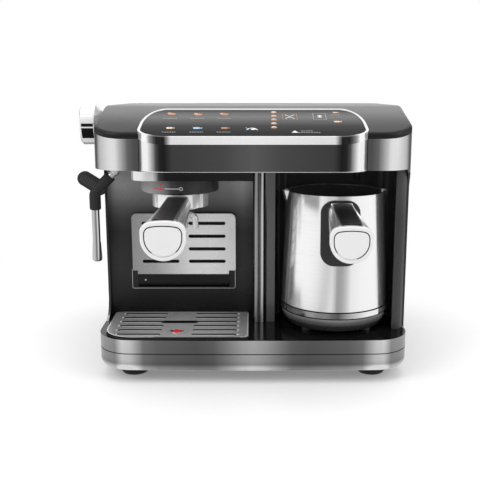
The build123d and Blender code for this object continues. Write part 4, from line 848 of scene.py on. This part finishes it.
def dome(x, y, r, h, verts, faces, n=10):
    """Adds a small pressed bump on the grid to a mesh."""
    start = len(verts)
    for share, rise in ((1.0, -0.1), (0.8, 0.55), (0.45, 0.9)):
        verts += [(x + r * share * math.cos(a), y + r * share * math.sin(a), GRID_TOP + h * rise)
                  for a in steps(0, 2 * math.pi, n)[:-1]]
    verts.append((x, y, GRID_TOP + h))
    for k in range(2):
        for i in range(n):
            j = (i + 1) % n
            a, b = start + k * n, start + (k + 1) * n
            faces.append((a + i, a + j, b + j, b + i))
    top = start + 3 * n
    for i in range(n):
        faces.append((start + 2 * n + i, start + 2 * n + (i + 1) % n, top))
    faces.append(tuple(start + i for i in range(n))[::-1])


def add_grid_bumps():
    """Pressed bumps at the ends of the slots, in a pale colour that paints their glints, and fine ones at the
    rear and around the float.
    """
    verts, faces = [], []
    for i in range(SLOT_ROWS):
        y = GRID_Y + SLOT_PITCH * (i - 2.5)
        dome(-16.6, y, 1.5, 0.7, verts, faces)
        dome(-150.4 if i else -148.2, y, 1.3, 0.6, verts, faces)
    mesh_piece("grid_bump_glints", verts, faces, "bright_steel", "grid")
    verts, faces = [], []
    for row in range(5):
        for column in range(9):
            x = GRID_X + (column - 4) * 2.4 + (row % 2) * 1.2
            dome(x, -61.5 + (row - 2) * 2.6, 0.75, 0.35, verts, faces, 8)
    for a in steps(0, 2 * math.pi, 26)[:-1]:
        for r in (9.4, 11.8):
            dome(GRID_X + r * math.cos(a), FLOAT_Y + 0.9 * r * math.sin(a), 0.7, 0.35, verts, faces, 8)
    mesh_piece("grid_dots", verts, faces, "grid_steel", "grid")


def add_grid_marks():
    """Ring around the float, painted shade in the slots and around the middle slot, and painted highlights
    along the slots' front edges and the plate's edges.
    """
    low, high = GRID_TOP - 0.1, GRID_TOP + 0.5
    lathe("grid_float_ring", [(6.4, low), (7.9, low), (7.6, high), (6.8, high)],
          GRID_X, FLOAT_Y, "bead_chrome", "grid", n=48)
    # painted shade: a dark mark in and around the middle slot, wider than its hole
    raised("grid_centre_slot_shade", [stadium(GRID_X, -93.0, 43.0, 9.0)], on_grid, 0.2,
           "seam_black", "grid")
    shades, slot_glints = [], []
    for i in range(SLOT_ROWS):
        y = GRID_Y + SLOT_PITCH * (i - 2.5)
        for side in (-1, 1):
            x = GRID_X + side * (SLOT_MIDDLE + SLOT_LENGTH) / 2
            shades.append(stadium(x, y + 1.2, SLOT_LENGTH, 3.0))
            slot_glints.append(bar(x - 22.5, x + 22.5, y - 2.7, y - 1.9))
    # painted shade in the slots, and painted highlights along their front edges
    raised("grid_slot_shades", shades, on_grid, 0.14, "seam_black", "grid")
    raised("grid_slot_glints", slot_glints, on_grid, 0.2, "bright_steel", "grid")
    # painted highlights along the plate's right edge and its front left corner
    right_edge = [(-6.0, -60.0), (-6.0, -139.5), (-8.5, -144.6), (-14.0, -145.9)]
    corner = [(-131.6 - 29.4 * math.sin(a), -116.6 - 29.4 * math.cos(a)) for a in steps(0, math.pi / 2, 12)]
    left_edge = [(-106.0, -146.0)] + corner + [(-161.0, -96.0)]
    raised("grid_edge_glint", [band(right_edge, 0.9), band(left_edge, 1.0)], on_grid, 0.22,
           "bright_steel", "grid")


add_grid_bumps()
add_grid_marks()


# ---------------------------------------------------------------- camera, light and floor (metres)

def add_object(name, data):
    made = bpy.data.objects.new(name, data)
    bpy.context.scene.collection.objects.link(made)
    return made


def add_camera():
    data = bpy.data.cameras.new("camera")
    data.lens = 58.05
    data.sensor_width = 36.0
    data.shift_x = -13 / 480
    camera = add_object("camera", data)
    camera.location = (0, -0.938, 0.3227)
    camera.rotation_euler = (math.radians(90 - 11.7), 0, 0)
    bpy.context.scene.camera = camera


def add_area(name, location, target, size, power):
    data = bpy.data.lights.new(name, "AREA")
    data.shape = "RECTANGLE"
    data.size, data.size_y = size
    data.energy = power
    lamp = add_object(name, data)
    lamp.location = location
    lamp.rotation_euler = (Vector(target) - Vector(location)).to_track_quat("-Z", "Y").to_euler()


# what metal sees around the machine: (degrees from the front, brightness)
STUDIO_STOPS = ((0, 0.80), (8, 0.62), (16, 0.60), (24, 0.75), (34, 0.88), (50, 0.96), (80, 1.0),
                (104, 0.95), (114, 0.5), (124, 0.14), (140, 0.12), (152, 0.6), (164, 1.0), (180, 1.0))


def studio_ring(tree, place):
    """Brightness of the studio as metal sees it, by the azimuth of a place's X, Y and Z outputs."""
    side = calculate(tree, "ABSOLUTE", place["X"])
    forward = calculate(tree, "MULTIPLY", place["Y"], -1)
    turn = calculate(tree, "DIVIDE", calculate(tree, "ARCTAN2", side, forward), math.pi)
    return ramp(tree, turn, [(degrees / 180, shade) for degrees, shade in STUDIO_STOPS])


def add_world():
    """White studio: camera and glass see plain white, and metal sees soft boxes and dark gaps."""
    world = bpy.data.worlds.new("studio")
    bpy.context.scene.world = world
    world.use_nodes = True
    tree = world.node_tree
    tree.nodes.clear()
    place = split(tree, node(tree, "ShaderNodeTexCoord").outputs["Generated"])
    overhead = remap(tree, place["Z"], 0, 1, 0.35, 0.75, "SMOOTHSTEP")
    glossy = mix(tree, overhead, studio_ring(tree, place), (0.9, 0.9, 0.9, 1))
    rays = node(tree, "ShaderNodeLightPath").outputs
    soft = mix(tree, rays["Is Glossy Ray"], (0.62, 0.62, 0.62, 1), glossy)
    seen = calculate(tree, "MAXIMUM", rays["Is Camera Ray"], rays["Is Transmission Ray"])
    background = node(tree, "ShaderNodeBackground", {"Color": mix(tree, seen, soft, (1, 1, 1, 1))})
    node(tree, "ShaderNodeOutputWorld", {0: background.outputs[0]})


FLOOR_HALF = 6.0


def add_floor():
    """White floor that keeps the shadow near the machine and fades into the white backdrop."""
    material = bpy.data.materials.new("floor")
    material.use_nodes = True
    tree = material.node_tree
    tree.nodes.clear()
    coordinates = object_coordinates(tree)
    distance = length_of(tree, coordinates)
    rays = node(tree, "ShaderNodeLightPath").outputs

    def emission(**inputs):
        return node(tree, "ShaderNodeEmission", inputs).outputs[0]

    def blend(factor, a, b):
        return node(tree, "ShaderNodeMixShader", {0: factor, 1: a, 2: b}).outputs[0]

    diffuse = node(tree, "ShaderNodeBsdfDiffuse", {"Color": (0.86, 0.86, 0.86, 1)}).outputs[0]
    lift = emission(Strength=calculate(tree, "MULTIPLY", rays["Is Camera Ray"], 0.22))
    near = node(tree, "ShaderNodeAddShader", {0: diffuse, 1: lift}).outputs[0]
    fade = remap(tree, distance, 0, 1, 0.26, 0.62, "SMOOTHSTEP")
    plain = blend(calculate(tree, "MULTIPLY", rays["Is Camera Ray"], fade), near, emission())
    # painted shadow: as metal sees the floor, it darkens towards the machine, to three quarters within 0.2 m
    # of it
    shade = remap(tree, distance, 0.75, 1.0, 0.20, 0.55, "SMOOTHSTEP")
    mirrored = emission(Color=studio_ring(tree, split(tree, coordinates)), Strength=shade)
    node(tree, "ShaderNodeOutputMaterial", {0: blend(rays["Is Glossy Ray"], plain, mirrored)})
    mesh = bpy.data.meshes.new("floor")
    s = FLOOR_HALF
    mesh.from_pydata([(-s, -s, 0), (s, -s, 0), (s, s, 0), (-s, s, 0)], [], [(0, 1, 2, 3)])
    mesh.materials.append(material)
    add_object("floor", mesh)


add_camera()
add_world()
add_floor()
add_area("key", (-1.1, -0.9, 1.2), (0, 0, 0.12), (1.0, 1.0), 9)
add_area("fill", (1.2, -0.6, 0.9), (0, 0, 0.12), (0.9, 1.2), 6)
add_area("top", (0, 0.1, 1.6), (0, 0, 0.1), (1.4, 1.4), 9)

bpy.context.scene.view_settings.view_transform = "Standard"
bpy.context.scene.cycles.caustics_reflective = False
bpy.context.scene.cycles.caustics_refractive = False
